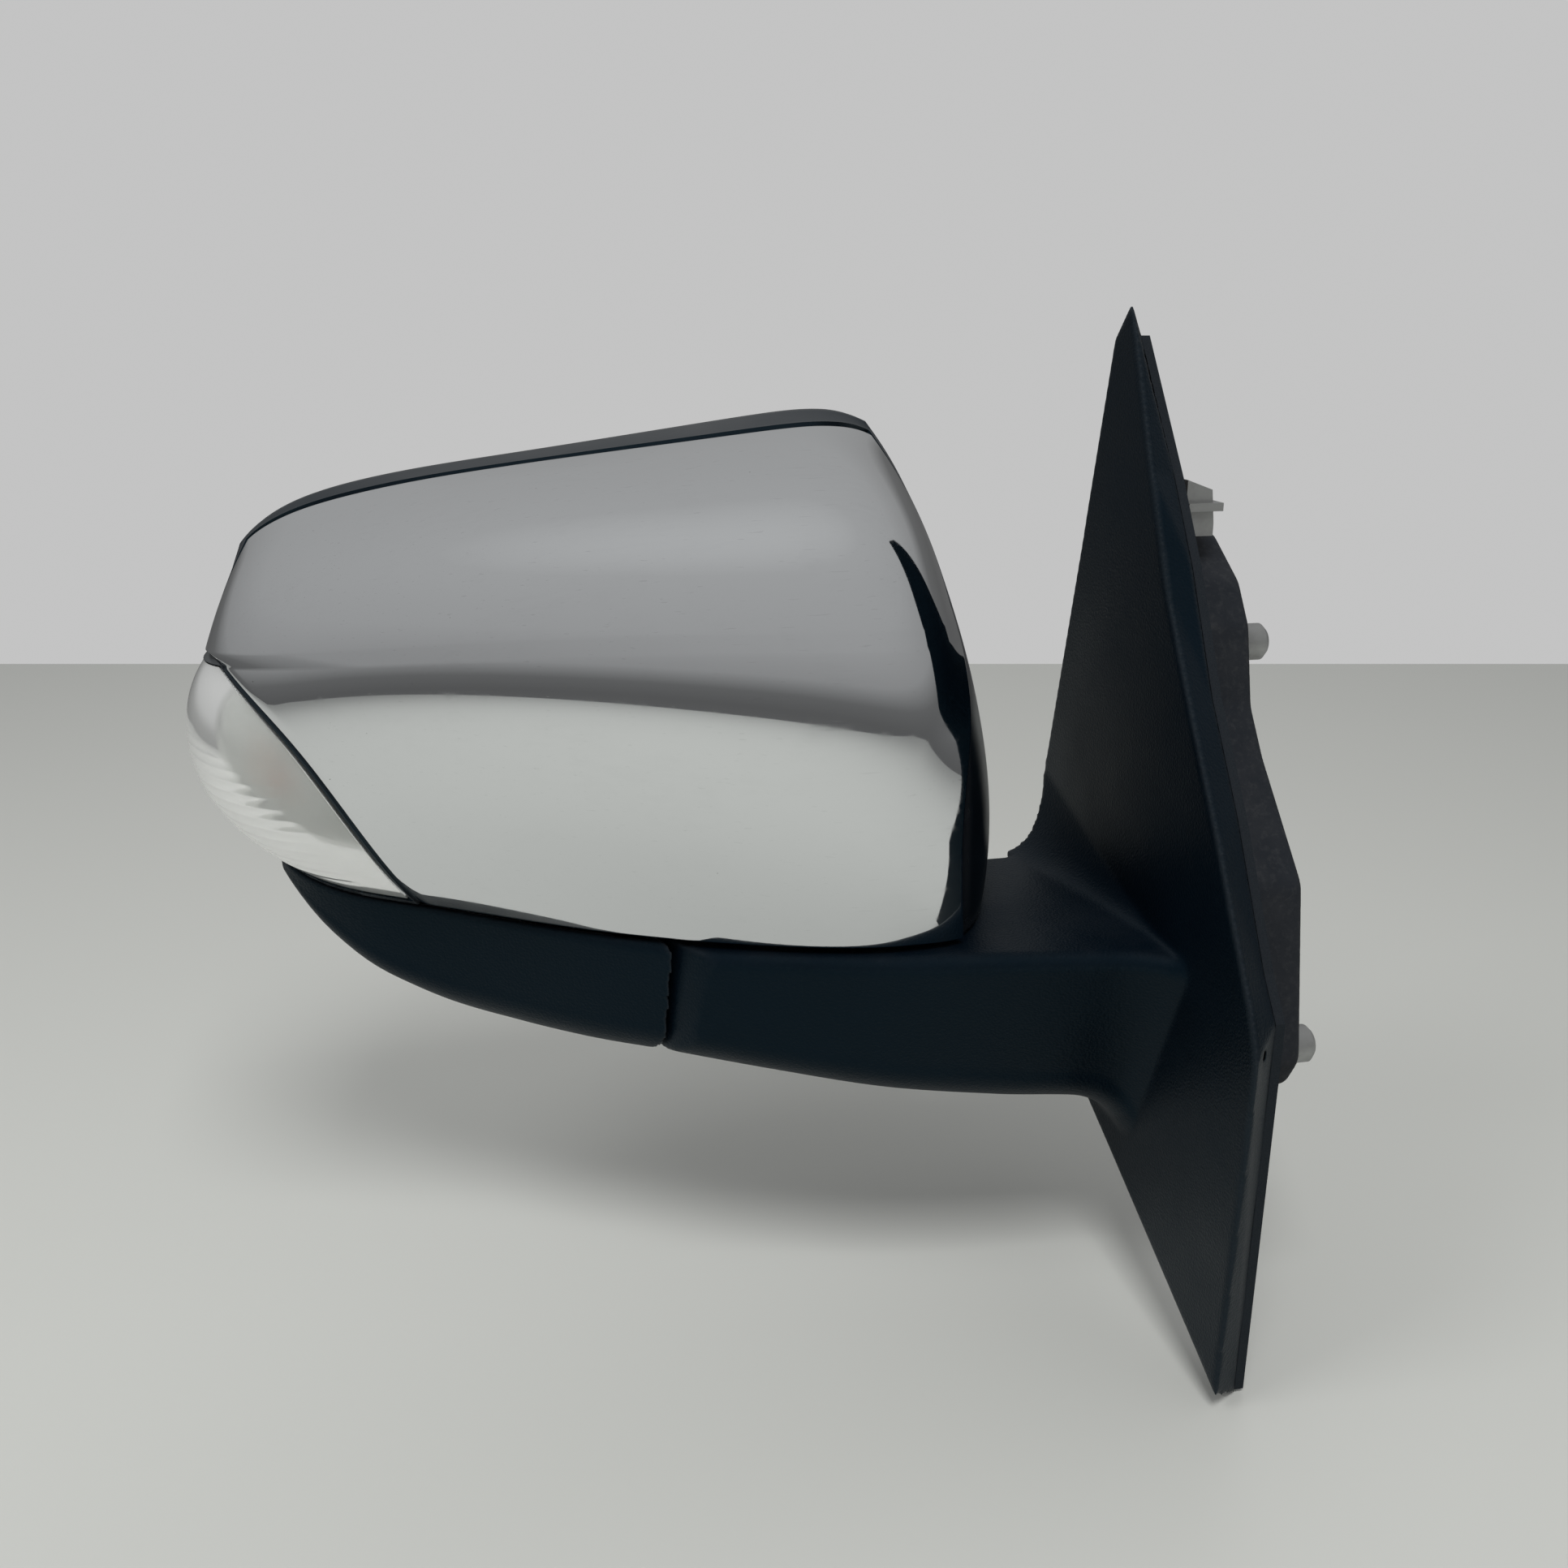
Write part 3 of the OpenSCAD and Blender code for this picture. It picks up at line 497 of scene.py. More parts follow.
def chrome_plating():
    """Bright plating with smears, fine scratches and a few specks."""
    g = Graph("chrome_plating", (0.76, 0.775, 0.785), 0.05, 1.0)
    smudge = g.span(g.noise(34, 5, 0.6, 1.2), 0.46, 0.72)
    wipe = g.noise(2.4, 3, 0.5, 0.6, at=g.stretched((0.18, 1, 1.1), (0.2, 0.4, 0.5)))
    lines = g.noise(0.5, 2, 0.4, 0.2, at=g.stretched((0.03, 0.6, 1), (0.5, 0.3, 0.7)))
    scratch = g.span(lines, 0.7, 0.74)
    worn = g.math("MULTIPLY", smudge, g.span(wipe, 0.35, 0.7))
    g.tint(g.math("MULTIPLY", worn, 0.16), (0.62, 0.63, 0.64))
    g.tint(g.math("MULTIPLY", scratch, 0.25), (0.5, 0.5, 0.51))
    specks = g.span(g.noise(1.6, 2, 0.4), 0.80, 0.84)
    g.tint(g.math("MULTIPLY", specks, 0.8), (0.16, 0.16, 0.16))
    marks = g.math("ADD", g.math("MULTIPLY", worn, 0.8), g.math("MULTIPLY", scratch, 0.5))
    g.roughen(marks, 0.035, 0.17)
    g.bump(g.noise(60, 1), 0.05, 0.3)
    return g.material


def satin_chrome():
    """Satin edge of the cap and of the lens beside it."""
    g = Graph("satin_chrome", (0.40, 0.41, 0.415), 0.3, 0.25)
    g.roughen(g.noise(5, 4), 0.24, 0.38)
    g.tint(g.span(g.noise(7, 4), 0.5, 0.8, 0, 0.4), (0.26, 0.265, 0.27))
    g.bump(g.noise(0.5, 2), 0.01, 0.4)
    return g.material


def clear_lens():
    """Clear moulding with slight haze and scuffs."""
    g = Graph("clear_lens", (0.80, 0.815, 0.79), 0.1, IOR=1.42, Transmission_Weight=0.7)
    haze = g.noise(9, 4)
    lines = g.noise(0.6, 2, 0.4, 0.3, at=g.stretched((0.05, 0.8, 1), (0.1, 0.6, 0.2)))
    scuff = g.span(lines, 0.7, 0.76)
    marks = g.math("ADD", g.math("MULTIPLY", haze, 0.4), g.math("MULTIPLY", scuff, 0.6))
    g.roughen(marks, 0.06, 0.2)
    g.bump(scuff, 0.01, 0.3)
    return g.material


def rib_valley_shade():
    """The valleys between the lens's ribs, with painted shade: darker and less clear than the lens.
    """
    g = Graph("rib_valley_shade", (0.40, 0.41, 0.395), 0.16, IOR=1.42, Transmission_Weight=0.3)
    g.tint(g.span(g.noise(16, 3), 0.35, 0.65), (0.22, 0.226, 0.218))
    g.roughen(g.noise(6, 3), 0.1, 0.24)
    g.bump(g.noise(7, 2), 0.05, 0.4)
    return g.material


def frosted_lens():
    """Frosted band inside the lens, beside the cap."""
    g = Graph("frosted_lens", (0.66, 0.675, 0.66), 0.42, IOR=1.42, Transmission_Weight=0.45)
    g.roughen(g.noise(3, 3), 0.4, 0.6)
    g.bump(g.cells(0.5), 0.06, 0.6)
    return g.material


def lamp_reflector():
    """Pale satin bowl with a painted amber reflection of the bulb near the bulb."""
    g = Graph("lamp_reflector", (0.84, 0.85, 0.84), 0.3)
    bulb = np.mean(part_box("lamp_bulb"), axis=0)
    painted_reflection_distance = g.add("ShaderNodeVectorMath", operation="DISTANCE")
    g.link(g.place, painted_reflection_distance.inputs[0])
    painted_reflection_distance.inputs[1].default_value = tuple(bulb + np.array([-0.006, 0.0, 0.002]))
    # Painted reflection: the bowl is tinted amber close to the bulb.
    g.tint(g.span(painted_reflection_distance.outputs["Value"], 0.005, 0.017, 0.8, 0.0), (0.72, 0.30, 0.12))
    g.roughen(g.noise(14, 4), 0.22, 0.42)
    g.bump(g.noise(1.2, 3), 0.02, 0.5)
    return g.material


def mirror_silver():
    """Silvered glass with smears and dust."""
    g = Graph("mirror_silver", (0.86, 0.88, 0.89), 0.02, 1.0)
    dust = g.span(g.noise(1.1, 4, 0.7), 0.66, 0.8)
    smear = g.span(g.noise(46, 5, 0.6, 1.0), 0.5, 0.8)
    g.tint(g.math("MULTIPLY", dust, 0.25), (0.4, 0.4, 0.4))
    marks = g.math("ADD", g.math("MULTIPLY", smear, 0.35), g.math("MULTIPLY", dust, 0.6))
    g.roughen(marks, 0.01, 0.16)
    g.bump(g.noise(90, 1), 0.02, 0.2)
    return g.material


def sealing_foam():
    """Dusty pitted foam."""
    g = Graph("sealing_foam", (0.015, 0.0175, 0.022), 0.85, Specular_IOR_Level=0.25)
    dust = g.span(g.noise(16, 5, 0.65), 0.42, 0.78)
    grime = g.span(g.noise(2.4, 4, 0.7), 0.5, 0.85)
    g.tint(g.math("MULTIPLY", dust, 0.4), (0.045, 0.046, 0.049))
    g.tint(g.math("MULTIPLY", grime, 0.22), (0.10, 0.10, 0.098))
    g.roughen(dust, 0.78, 0.95)
    g.bump(g.cells(1.1), 0.12, 0.5)
    g.bump(g.noise(0.5, 3), 0.06, 0.5)
    return g.material


def cast_alloy():
    """Grey casting with a rough skin and stains."""
    g = Graph("cast_alloy", (0.40, 0.405, 0.40), 0.5, 0.85)
    skin = g.noise(1.1, 5, 0.7)
    stain = g.noise(12, 4, 0.6)
    g.tint(g.span(stain, 0.45, 0.8, 0, 0.55), (0.2, 0.2, 0.195))
    g.tint(g.span(skin, 0.6, 0.8, 0, 0.4), (0.6, 0.6, 0.59))
    g.roughen(stain, 0.42, 0.68)
    g.bump(skin, 0.12, 0.7)
    return g.material


black = moulded_black("black_textured", (0.0012, 0.0036, 0.0068), 0.42, 0.8, 0.2, 0.05, 0.17)
satin_black = moulded_black("housing_satin", (0.0030, 0.0044, 0.0066), 0.30, 0.5, 0.015, 0.03, 0.35)
chrome = chrome_plating()
satin = satin_chrome()
lens_clear = clear_lens()
lens_frost = frosted_lens()
lens_valley_shade = rib_valley_shade()
reflector = lamp_reflector()
foam = sealing_foam()
alloy = cast_alloy()
rubber = moulded_black("gasket_rubber", (0.0024, 0.0040, 0.0068), 0.62, 0.6, 0.03, 0.04, 0.15)
zinc = metal("zinc_steel", (0.56, 0.56, 0.57), 0.36, (1, 1, 6))
spring_steel = metal("spring_steel", (0.2, 0.21, 0.22), 0.34, (1, 1, 3))
acetal = plain_plastic("acetal", (0.72, 0.71, 0.66), 0.4, 1.0, 0.01, Subsurface_Weight=0.1)
nylon = moulded_black("black_nylon", (0.014, 0.0145, 0.016), 0.46, 0.4, 0.02, 0.04)
socket_grey = plain_plastic("socket_grey", (0.1, 0.1, 0.105), 0.5)
amber = plain_plastic("amber_bulb", (0.85, 0.28, 0.05), 0.12, 2.0, 0.01, Transmission_Weight=0.5)
heater_film = plain_plastic("heater_film", (0.32, 0.17, 0.06), 0.35, 3.0, 0.05)
silver = mirror_silver()


# ---------------------------------------------------------------- chrome cap
def edge_steps(count, edge, finest):
    """Parameters from 0 to 1 with close steps at both ends."""
    near = np.array(finest) * edge
    return np.concatenate([near, np.linspace(edge * 1.4, 1 - edge * 1.4, count), 1 - near[::-1]])


def round_over(distance, radius):
    """How far the surface drops within a radius of an edge."""
    d = np.clip(distance, 0, radius)
    return radius - np.sqrt(np.maximum(radius ** 2 - (radius - d) ** 2, 0))


def chrome_cap():
    """Dense skin of the cap, with its rounded edges, rolled side and satin strip."""
    fine = (0, 0.03, 0.12, 0.28, 0.5, 0.75, 1.0)
    s = edge_steps(120, 0.012, fine)
    low = mix(0.003, LENS_TOP, edge_steps(56, 0.012, fine)[:-7])
    high = mix(LENS_TOP + 0.02, CAP_TOP - SEAM - 0.004, edge_steps(44, 0.02, fine)[7:])
    v = np.concatenate([low, [LENS_TOP], high])
    s, v = np.meshgrid(s, v)
    beside_lens = v < LENS_TOP + 0.01
    low_part = np.clip((PROUD_TOP - v) / PROUD_FADE, 0, 1)
    left = cap_in(v) + 2 * SEAM + PROUD_SHIFT * low_part
    right = np.where(beside_lens, lens_in(v) + CAP_END, RIM_U - 2 * SEAM)
    u = mix(left, right, s)
    along, up = grid_lengths(head_point(u, v))
    to_lens = along[:, -1:] - along
    depth = round_over(along, CAP_EDGE_R) + round_over(up, CAP_EDGE_R)
    depth = depth + round_over(up[-1:] - up, CAP_TOP_R)
    rolled = np.clip(1 - to_lens / ROLL_WIDTH, 0, 1) ** 1.7 * ROLL_DROP
    depth += np.where(beside_lens, rolled, round_over(to_lens, CAP_OUT_R))
    proud = CAP_PROUD * np.clip(1 - along / PROUD_WIDTH, 0, 1) ** 2 * low_part
    outer = head_at(u, v, np.minimum(depth, DEEPEST) - proud)
    cap = sheet("cap_skin", outer, head_at(u, v, CAP_T - 0.6 * proud))
    strip = ((to_lens < STRIP_WIDTH) & beside_lens).ravel()
    for face in cap.data.polygons:
        if all(strip[k % strip.size] for k in face.vertices):
            face.material_index = 1
    soften(cap, angle=50)
    return finish_piece(cap, "head", "chrome_plating", (chrome, satin), "chrome_cap")


chrome_cap()


# ---------------------------------------------------------------- signal lamp
def bulge(s, t):
    """0 round the edges of the lens and 1 in its middle."""
    return np.sin(np.pi * np.clip(s, 0, 1)) * np.sin(np.pi * np.clip(t, 0, 1)) ** 0.9


def lamp_field(s, t, base, scale, extra=0.0, room=0.0):
    """Points over the lens's field, s outboard and t up, at base plus the scaled bulge deep."""
    v = mix(LENS_LOW - room, LENS_TOP - LENS_GAP + room, t)
    u = mix(lens_in(v) + LENS_START - room, LENS_OUT + room, s)
    return head_at(u, v, base + scale * bulge(s, t) + extra)


# The lens's material slots after the first, which is the clear one
FROSTED, VALLEY, EDGE = 1, 2, 3


def lamp_lens():
    """Dense skin of the lens, with ribs that follow its lower edge and a satin side by the cap."""
    fine = (0, 0.2, 0.5, 1.0)
    s, t = np.meshgrid(edge_steps(70, 0.01, fine), edge_steps(240, 0.01, fine))
    band = np.clip((0.80 - t - 0.34 * (1 - s)) * 9, 0, 1) * np.clip((s - 0.16) * 12, 0, 1)
    band *= np.clip((0.98 - s) * 24, 0, 1) * np.clip((t - 0.03) * 30, 0, 1)
    flow = (t + 0.10 * s * (1 - s)) / RIB_STEP
    ribs = band * np.abs(np.sin(np.pi * flow))
    outer = lamp_field(s, t, 0.4, -LENS_BULGE, 0.2 * ribs)
    inner = lamp_field(s, t, 0.4 + LENS_T, -LENS_BULGE, 0.7 * ribs)
    lens = sheet("lens_skin", outer, inner)
    rows, cols = s.shape
    # Faces in the rib valleys take the material with painted shade.
    valley = (band > 0.2) & (np.abs(flow - np.round(flow)) < 0.09)
    for face in lens.data.polygons:
        first = min(face.vertices)
        inside = first >= rows * cols
        j, i = divmod(first % (rows * cols), cols)
        if all(k % cols < len(fine) for k in face.vertices):
            face.material_index = EDGE
        elif inside and s[j, i] < FROSTED_WIDTH:
            face.material_index = FROSTED
        elif valley[j, i]:
            face.material_index = VALLEY
    soften(lens, angle=50)
    looks = (lens_clear, lens_frost, lens_valley_shade, satin)
    return finish_piece(lens, "head", "lens_clear", looks, "lamp_lens")


def lamp_bowl():
    """Pale bowl behind the lens, with shallow steps across it."""
    s, t = np.meshgrid(np.linspace(0, 1, 90), np.linspace(0, 1, 120))
    steps = 0.5 * np.abs(np.sin(t * np.pi * 17 + 2.0 * s)) * np.sin(np.pi * s) ** 0.5
    outer = lamp_field(s, t, 3.2, 9, -steps, -0.003)
    inner = lamp_field(s, t, 5.2, 9, 0, -0.003)
    bowl = sheet("lamp_bowl", outer, inner)
    soften(bowl, angle=60)
    return finish_piece(bowl, "head", "lamp_white", (reflector,), "lamp_body")


lamp_lens()
lamp_bowl()


# ---------------------------------------------------------------- housing
def edge_first(count, near, span):
    """Parameters from 0 to 1: a few fine steps over the first part, then even ones."""
    fine = near * np.array([0, 0.08, 0.2, 0.4, 0.65, 1.0]) / span
    return np.concatenate([fine, np.linspace(near / span * 1.5, 1, count)])


def bag_grid(step):
    """The bag's u and v, with close lines by each border, and how far it drops under the cap."""
    left = edge_first(20, 3.0, 75.0)
    right = 1 - edge_first(9, 3.0, 14.0)[::-1]
    top = 1 - edge_first(5, 3.0, 5.5)[::-1]
    middle = np.linspace(0, 1, 90)
    low = np.linspace(0, LENS_TOP, 38)
    high = np.linspace(LENS_TOP + 0.02, CAP_TOP - SEAM, 34)
    v = np.concatenate([low, high, mix(CAP_TOP + SEAM, 1, top)])
    rows = []
    for y in v:
        a, b = float(cap_in(y)), float(lens_in(y)) if y < LENS_TOP + 0.01 else RIM_U
        rows.append(np.concatenate([
            left * (a - SEAM), mix(a + SEAM, b - SEAM, middle), mix(b + SEAM, 1, right),
        ]))
    u = np.array(rows)
    drop = np.zeros(u.shape)
    drop[:len(low) + len(high), len(left):len(left) + len(middle)] = step
    return u, np.broadcast_to(v[:, None], u.shape), drop


def close_bag(name, p, back):
    """Closed solid from a grid whose sides and top reach the plane y = back, with a flat floor."""
    r, c = p.shape[:2]
    count = r * c
    floor = p[0].copy()
    floor[:, 1] = back
    faces = grid_faces(r, c)
    for i in range(c - 1):
        if i == 0:
            faces.append((0, count + 1, 1))
        elif i == c - 2:
            faces.append((i, count + i, i + 1))
        else:
            faces.append((i, count + i, count + i + 1, i + 1))
    left_side = [j * c for j in range(r)]
    top_side = [(r - 1) * c + i for i in range(1, c)]
    right_side = [j * c + c - 1 for j in range(r - 2, -1, -1)]
    bottom_side = [count + i for i in range(c - 2, 0, -1)]
    faces.append(tuple(left_side + top_side + right_side + bottom_side))
    obj = new_object(name, np.concatenate([p.reshape(-1, 3), floor]), faces)
    mesh = bmesh.new()
    mesh.from_mesh(obj.data)
    bmesh.ops.delete(mesh, geom=[x for x in mesh.verts if not x.link_faces], context="VERTS")
    bmesh.ops.triangulate(mesh, faces=mesh.faces)
    mesh.to_mesh(obj.data)
    mesh.free()
    return face_outwards(obj)


def bag(name, depth, step, back, floor_up, rim_r=0.0):
    """Solid of the head at a depth below its surface, lower by a step under the cap."""
    u, v, drop = bag_grid(step)
    if rim_r:
        along, up = grid_lengths(head_point(u, v))
        nearest = np.minimum(np.minimum(along, along[:, -1:] - along), up[-1:] - up)
        drop = np.maximum(drop, round_over(nearest, rim_r))
    p = head_at(u, v, depth + drop)
    p[0, :, 2] = head_at(u[0], v[0], drop[0])[:, 2] + floor_up
    for edge in (np.s_[:, 0], np.s_[:, -1], np.s_[-1, :]):
        p[edge + (1,)] = back
    return close_bag(name, p, back)


def rim_outline():
    """The head's rim seen from behind, as X and Z."""
    long_way, short_way = np.linspace(0, 1, 80), np.linspace(0, 1, 40)
    parts = (
        head_point(0.0, short_way)[:-1],
        head_point(long_way, 1.0)[:-1],
        head_point(1.0, short_way)[::-1][:-1],
        head_point(long_way, 0.0)[::-1][:-1],
    )
    return np.concatenate(parts)[:, [0, 2]]


def offset_outline(outline, d, centre, rays=240):
    """Outline at a distance inside (d > 0) or outside another one, found along rays."""
    a, b = np.asarray(outline), np.roll(outline, -1, 0)
    turn = np.linspace(0, 2 * np.pi, rays, endpoint=False)
    ray = np.stack([np.cos(turn), np.sin(turn)], -1)
    low, high = np.zeros(rays), np.full(rays, 260.0)
    side = b - a
    for _ in range(24):
        r = (low + high) / 2
        p = centre + ray * r[:, None]
        t = ((p[:, None] - a) * side).sum(2) / (side ** 2).sum(1)
        near = np.linalg.norm(p[:, None] - a - np.clip(t, 0, 1)[..., None] * side, axis=2).min(1)
        over = (a[:, 1] > p[:, None, 1]) != (b[:, 1] > p[:, None, 1])
        with np.errstate(divide="ignore", invalid="ignore"):
            cross = a[:, 0] + side[:, 0] * (p[:, None, 1] - a[:, 1]) / side[:, 1]
        within = (over & (p[:, None, 0] < cross)).sum(1) % 2 == 1
        room = np.where(within, near, -near)
        fits = room > d
        low, high = np.where(fits, r, low), np.where(fits, high, r)
    return centre + ray * low[:, None]


# A point well inside the rim in X and Z, the width of the rim's face, and the opening's corners
HEAD_CENTRE = np.array([-180.0, 70.0])
OPENING_EDGE = 9.0
CORNER_R = 8.0
# The rim's outer radius, and the pads round the screws in the foot
RIM_R = 2.4
PAD_R = 5
PAD_TOP = 3.35


def mirror_housing():
    """Hollow housing with its opening, the lamp's window and the holes in its foot."""
    shell = bag("housing_skin", 0, CAP_STEP, RIM_Y, 0, RIM_R)
    cavity = bag("cavity", WALL, CAP_STEP, RIM_Y + 1, 2.0)
    corners = [(-400, -100), (100, -100), (100, RIM_Y - 3), (-400, RIM_Y - 3)]
    reach = prism("reach", corners, -50, 250, "z")
    combine(cavity, "INTERSECT", reach)
    for x, y in FOOT_SCREWS:
        combine(cavity, "DIFFERENCE", cylinder("pad", PAD_R, -20, PAD_TOP, (x, y)))
    small = offset_outline(rim_outline(), OPENING_EDGE + CORNER_R, HEAD_CENTRE)
    edge = offset_outline(small, -CORNER_R, HEAD_CENTRE)
    opening = prism("opening", edge, RIM_Y - 10, RIM_Y + 10, "y")
    s, t = np.meshgrid(np.linspace(0, 1, 30), np.linspace(0, 1, 40))
    window = sheet("window", lamp_field(s, t, -8, 0, 0, 0.004), lamp_field(s, t, 12, 0, 0, 0.004))
    hub_hole = cylinder("hub_hole", HUB_HOLE_R, -20, 4, PIVOT)
    combine(shell, "DIFFERENCE", cavity, opening, window, hub_hole)
    for x, y in FOOT_SCREWS:
        hole = cylinder("hole", SCREW_HOLE_R, -20, 8, (x, y))
        combine(shell, "DIFFERENCE", hole, cylinder("seat", SCREW_SEAT_R, -20, -0.2, (x, y)))
    soften(shell, angle=40)
    return finish_piece(shell, "head", "housing_black", (satin_black,), "mirror_housing")


mirror_housing()


# ---------------------------------------------------------------- soft moulded parts
def remould(obj, voxel, passes):
    """Remeshes a closed solid finely and smooths it, so that its edges come out softly rounded."""
    step = obj.modifiers.new("voxels", "REMESH")
    step.mode = "VOXEL"
    step.voxel_size = voxel * MM
    settle(obj)
    step = obj.modifiers.new("soft", "SMOOTH")
    step.factor = 0.5
    step.iterations = passes
    settle(obj)
    for face in obj.data.polygons:
        face.use_smooth = True
    return obj


def smooth_through(xs, ys, x):
    """Smooth curve through a few points, with slopes taken from their neighbours."""
    xs, ys = np.asarray(xs, float), np.asarray(ys, float)
    slope = np.gradient(ys, xs)
    x = np.clip(x, xs[0], xs[-1])
    i = np.clip(np.searchsorted(xs, x) - 1, 0, len(xs) - 2)
    width = xs[i + 1] - xs[i]
    t = (x - xs[i]) / width
    return (
        (1 + 2 * t) * (1 - t) ** 2 * ys[i] + t * (1 - t) ** 2 * width * slope[i]
        + t * t * (3 - 2 * t) * ys[i + 1] + t * t * (t - 1) * width * slope[i + 1]
    )


def arc(y, z, r, start, steps=9):
    """Quarter of a circle in the plane of Y and Z."""
    turn = np.radians(start + np.linspace(0, 90, steps))
    return np.stack([y + r * np.cos(turn), z + r * np.sin(turn)], -1)


def rounded_section(x, front, rear, low, top, lean, r_top, r_low):
    """A section in the plane of Y and Z with round corners, its lower front corner leaning back."""
    height = (top - low) / 2.6
    a = min(r_top, height)
    b = min(r_low, height, (rear - front - lean - 8) / 2.2)
    outline = np.concatenate([
        arc(rear - a, top - a, a, 0), arc(front + a, top - a, a, 90),
        arc(front + lean + b, low + b, b, 180), arc(rear - 8 - b, low + b, b, 270),
    ])
    return np.insert(outline, 0, x, axis=1)


# X of the sail's outboard face, of its rim's front and of its back, and the sail's wall
SAIL_X = -14.0
SAIL_RIM_X = -3.5
SAIL_BACK_X = -3.1
SAIL_WALL = 2.8
# Outlines in Y and Z of the face and of the rim, and the blind bosses for the screws
SAIL_FACE = [
    (42, 190), (20, 140), (4, 107), (-19, 72), (-44, 36), (-68, -1), (-75, -16),
    (-69, -131), (18, -94), (47, -82), (108, -57), (95, 25), (71, 113), (54, 178),
]
SAIL_RIM = [
    (58, 181), (25, 137), (8, 111), (-11, 75), (-33, 43), (-56, 3), (-65, -9),
    (-62, -137), (19, -97), (48, -85), (110.5, -58.5), (97.5, 25), (73, 114), (60, 172),
]
SAIL_BOSSES = ((-10, 50), (-47.5, -30), (90, -28))
SAIL_BOSS_R = 4.4
# The arm's top, then its stations: X, front and rear Y, bottom Z, and how far the bottom leans back
ARM_TOP = -4.4
ARM_X = (-176, -135, -100, -60, -24, -11.5)
ARM_FRONT = (17, 3, -7, -13.5, -20, -24)
ARM_REAR = (86, 84, 81, 79, 80, 83)
ARM_LOW = (-43, -50, -56.5, -63, -69, -76)
ARM_LEAN = (2, 4, 7, 12, 20, 30)
ARM_TOP_R = 4.5
ARM_LOW_R = 13
# How far the arm swells where it meets the sail, and the radius of its round end
ARM_FLARE = 9
SPLIT_R = 47.0


def at_x(outline, x):
    """Puts an outline of Y and Z in the plane of an X."""
    return np.insert(np.asarray(outline, float), 0, x, axis=1)


def arm_loft(name, wall, flare, start=-176.0, end=-11.5):
    """The arm with its walls moved inwards, swelling by a flare where it meets the sail."""
    sections = []
    for x in np.linspace(start, end, 60):
        t = np.clip((x - SAIL_X + 20) / 20, 0, 1)
        swell = flare * (1 - math.sqrt(1 - min(0.985, t) ** 2))
        front, rear, low, lean = (
            float(smooth_through(ARM_X, col, min(x, ARM_X[-1])))
            for col in (ARM_FRONT, ARM_REAR, ARM_LOW, ARM_LEAN)
        )
        sections.append(rounded_section(
            x, front + wall - swell, rear - wall, low + wall - swell, ARM_TOP - wall, lean,
            ARM_TOP_R, ARM_LOW_R,
        ))
    return face_outwards(loft(name, sections))


def arm_reach(name, r):
    """What the arm may fill: everything inboard of the pivot, and a round end beyond it."""
    reach = cylinder(name, r, -110, 20, PIVOT, sides=160)
    far = prism("far", [(PIVOT[0], -90), (0, -90), (0, 140), (PIVOT[0], 140)], -110, 20, "z")
    return combine(reach, "UNION", far)


def gusset():
    """Web that rises from the arm's top to the sail, low in front and high at the rear."""
    sections = []
    for t in np.linspace(0.02, 1, 24):
        foot = np.array([-15 - 18 * t, -16 + 98 * t, ARM_TOP])
        top = np.array([-13.2, -16 + 113 * t, ARM_TOP + 31 * t])
        bend = np.array([top[0] - 5 * t, foot[1] + 3 * t, ARM_TOP + 1.5 * t])
        s = np.linspace(0, 1, 12)[:, None]
        curve = (1 - s) ** 2 * foot + 2 * s * (1 - s) * bend + s * s * top
        back = [
            (-11.4, top[1], top[2]), (-11.4, foot[1], ARM_TOP - 2.4),
            (foot[0], foot[1], ARM_TOP - 2.4),
        ]
        sections.append(np.concatenate([curve, back]))
    return face_outwards(loft("gusset", sections))


def sail_and_arm():
    """The sail cover and its hollow arm, one moulding."""
    sail = face_outwards(loft("sail_skin", [
        at_x(SAIL_FACE, SAIL_X), at_x(SAIL_RIM, SAIL_RIM_X), at_x(SAIL_RIM, SAIL_BACK_X),
    ]))
    arm = combine(arm_loft("arm", 0, ARM_FLARE), "INTERSECT", arm_reach("reach", SPLIT_R))
    combine(sail, "UNION", arm, gusset())
    inner_face, inner_rim = inset(SAIL_FACE, SAIL_WALL), inset(SAIL_RIM, SAIL_WALL)
    pocket = face_outwards(loft("pocket", [
        at_x(inner_face, SAIL_X + SAIL_WALL), at_x(inner_rim, SAIL_RIM_X + 1), at_x(inner_rim, 1),
    ]))
    for y, z in SAIL_BOSSES:
        combine(pocket, "DIFFERENCE", cylinder("boss", SAIL_BOSS_R, SAIL_X, -7.6, (y, z), "x"))
    hollow = arm_loft("hollow", SAIL_WALL, 0, end=-5.0)
    combine(hollow, "INTERSECT", arm_reach("reach", SPLIT_R - SAIL_WALL))
    pivot_hole = cylinder("pivot_hole", HUB_HOLE_R, -20, 10, PIVOT)
    combine(sail, "DIFFERENCE", pocket, hollow, pivot_hole)
    remould(sail, voxel=1.1, passes=5)
    return finish_piece(sail, "base", "black_plastic", (black,), "sail_cover")


# The lower cover's stations along the head's lower edge: u and bottom Z
COVER_U = (0.49, 0.6, 0.68, 0.74, 0.79, 0.83, 0.87, 0.9, 0.93, 0.945)
COVER_LOW = (-50, -47, -45, -42, -38, -31.5, -22, -11, 3.5, 11)
COVER_SCREW = FOOT_SCREWS[1]
# Its last u, its wall, the tower round its screw, and the slope of the split with the gap across it
COVER_END = 0.945
COVER_WALL = 2.4
TOWER_R = 6.5
SPLIT_SLOPE = 2.6
SPLIT_GAP = 0.8


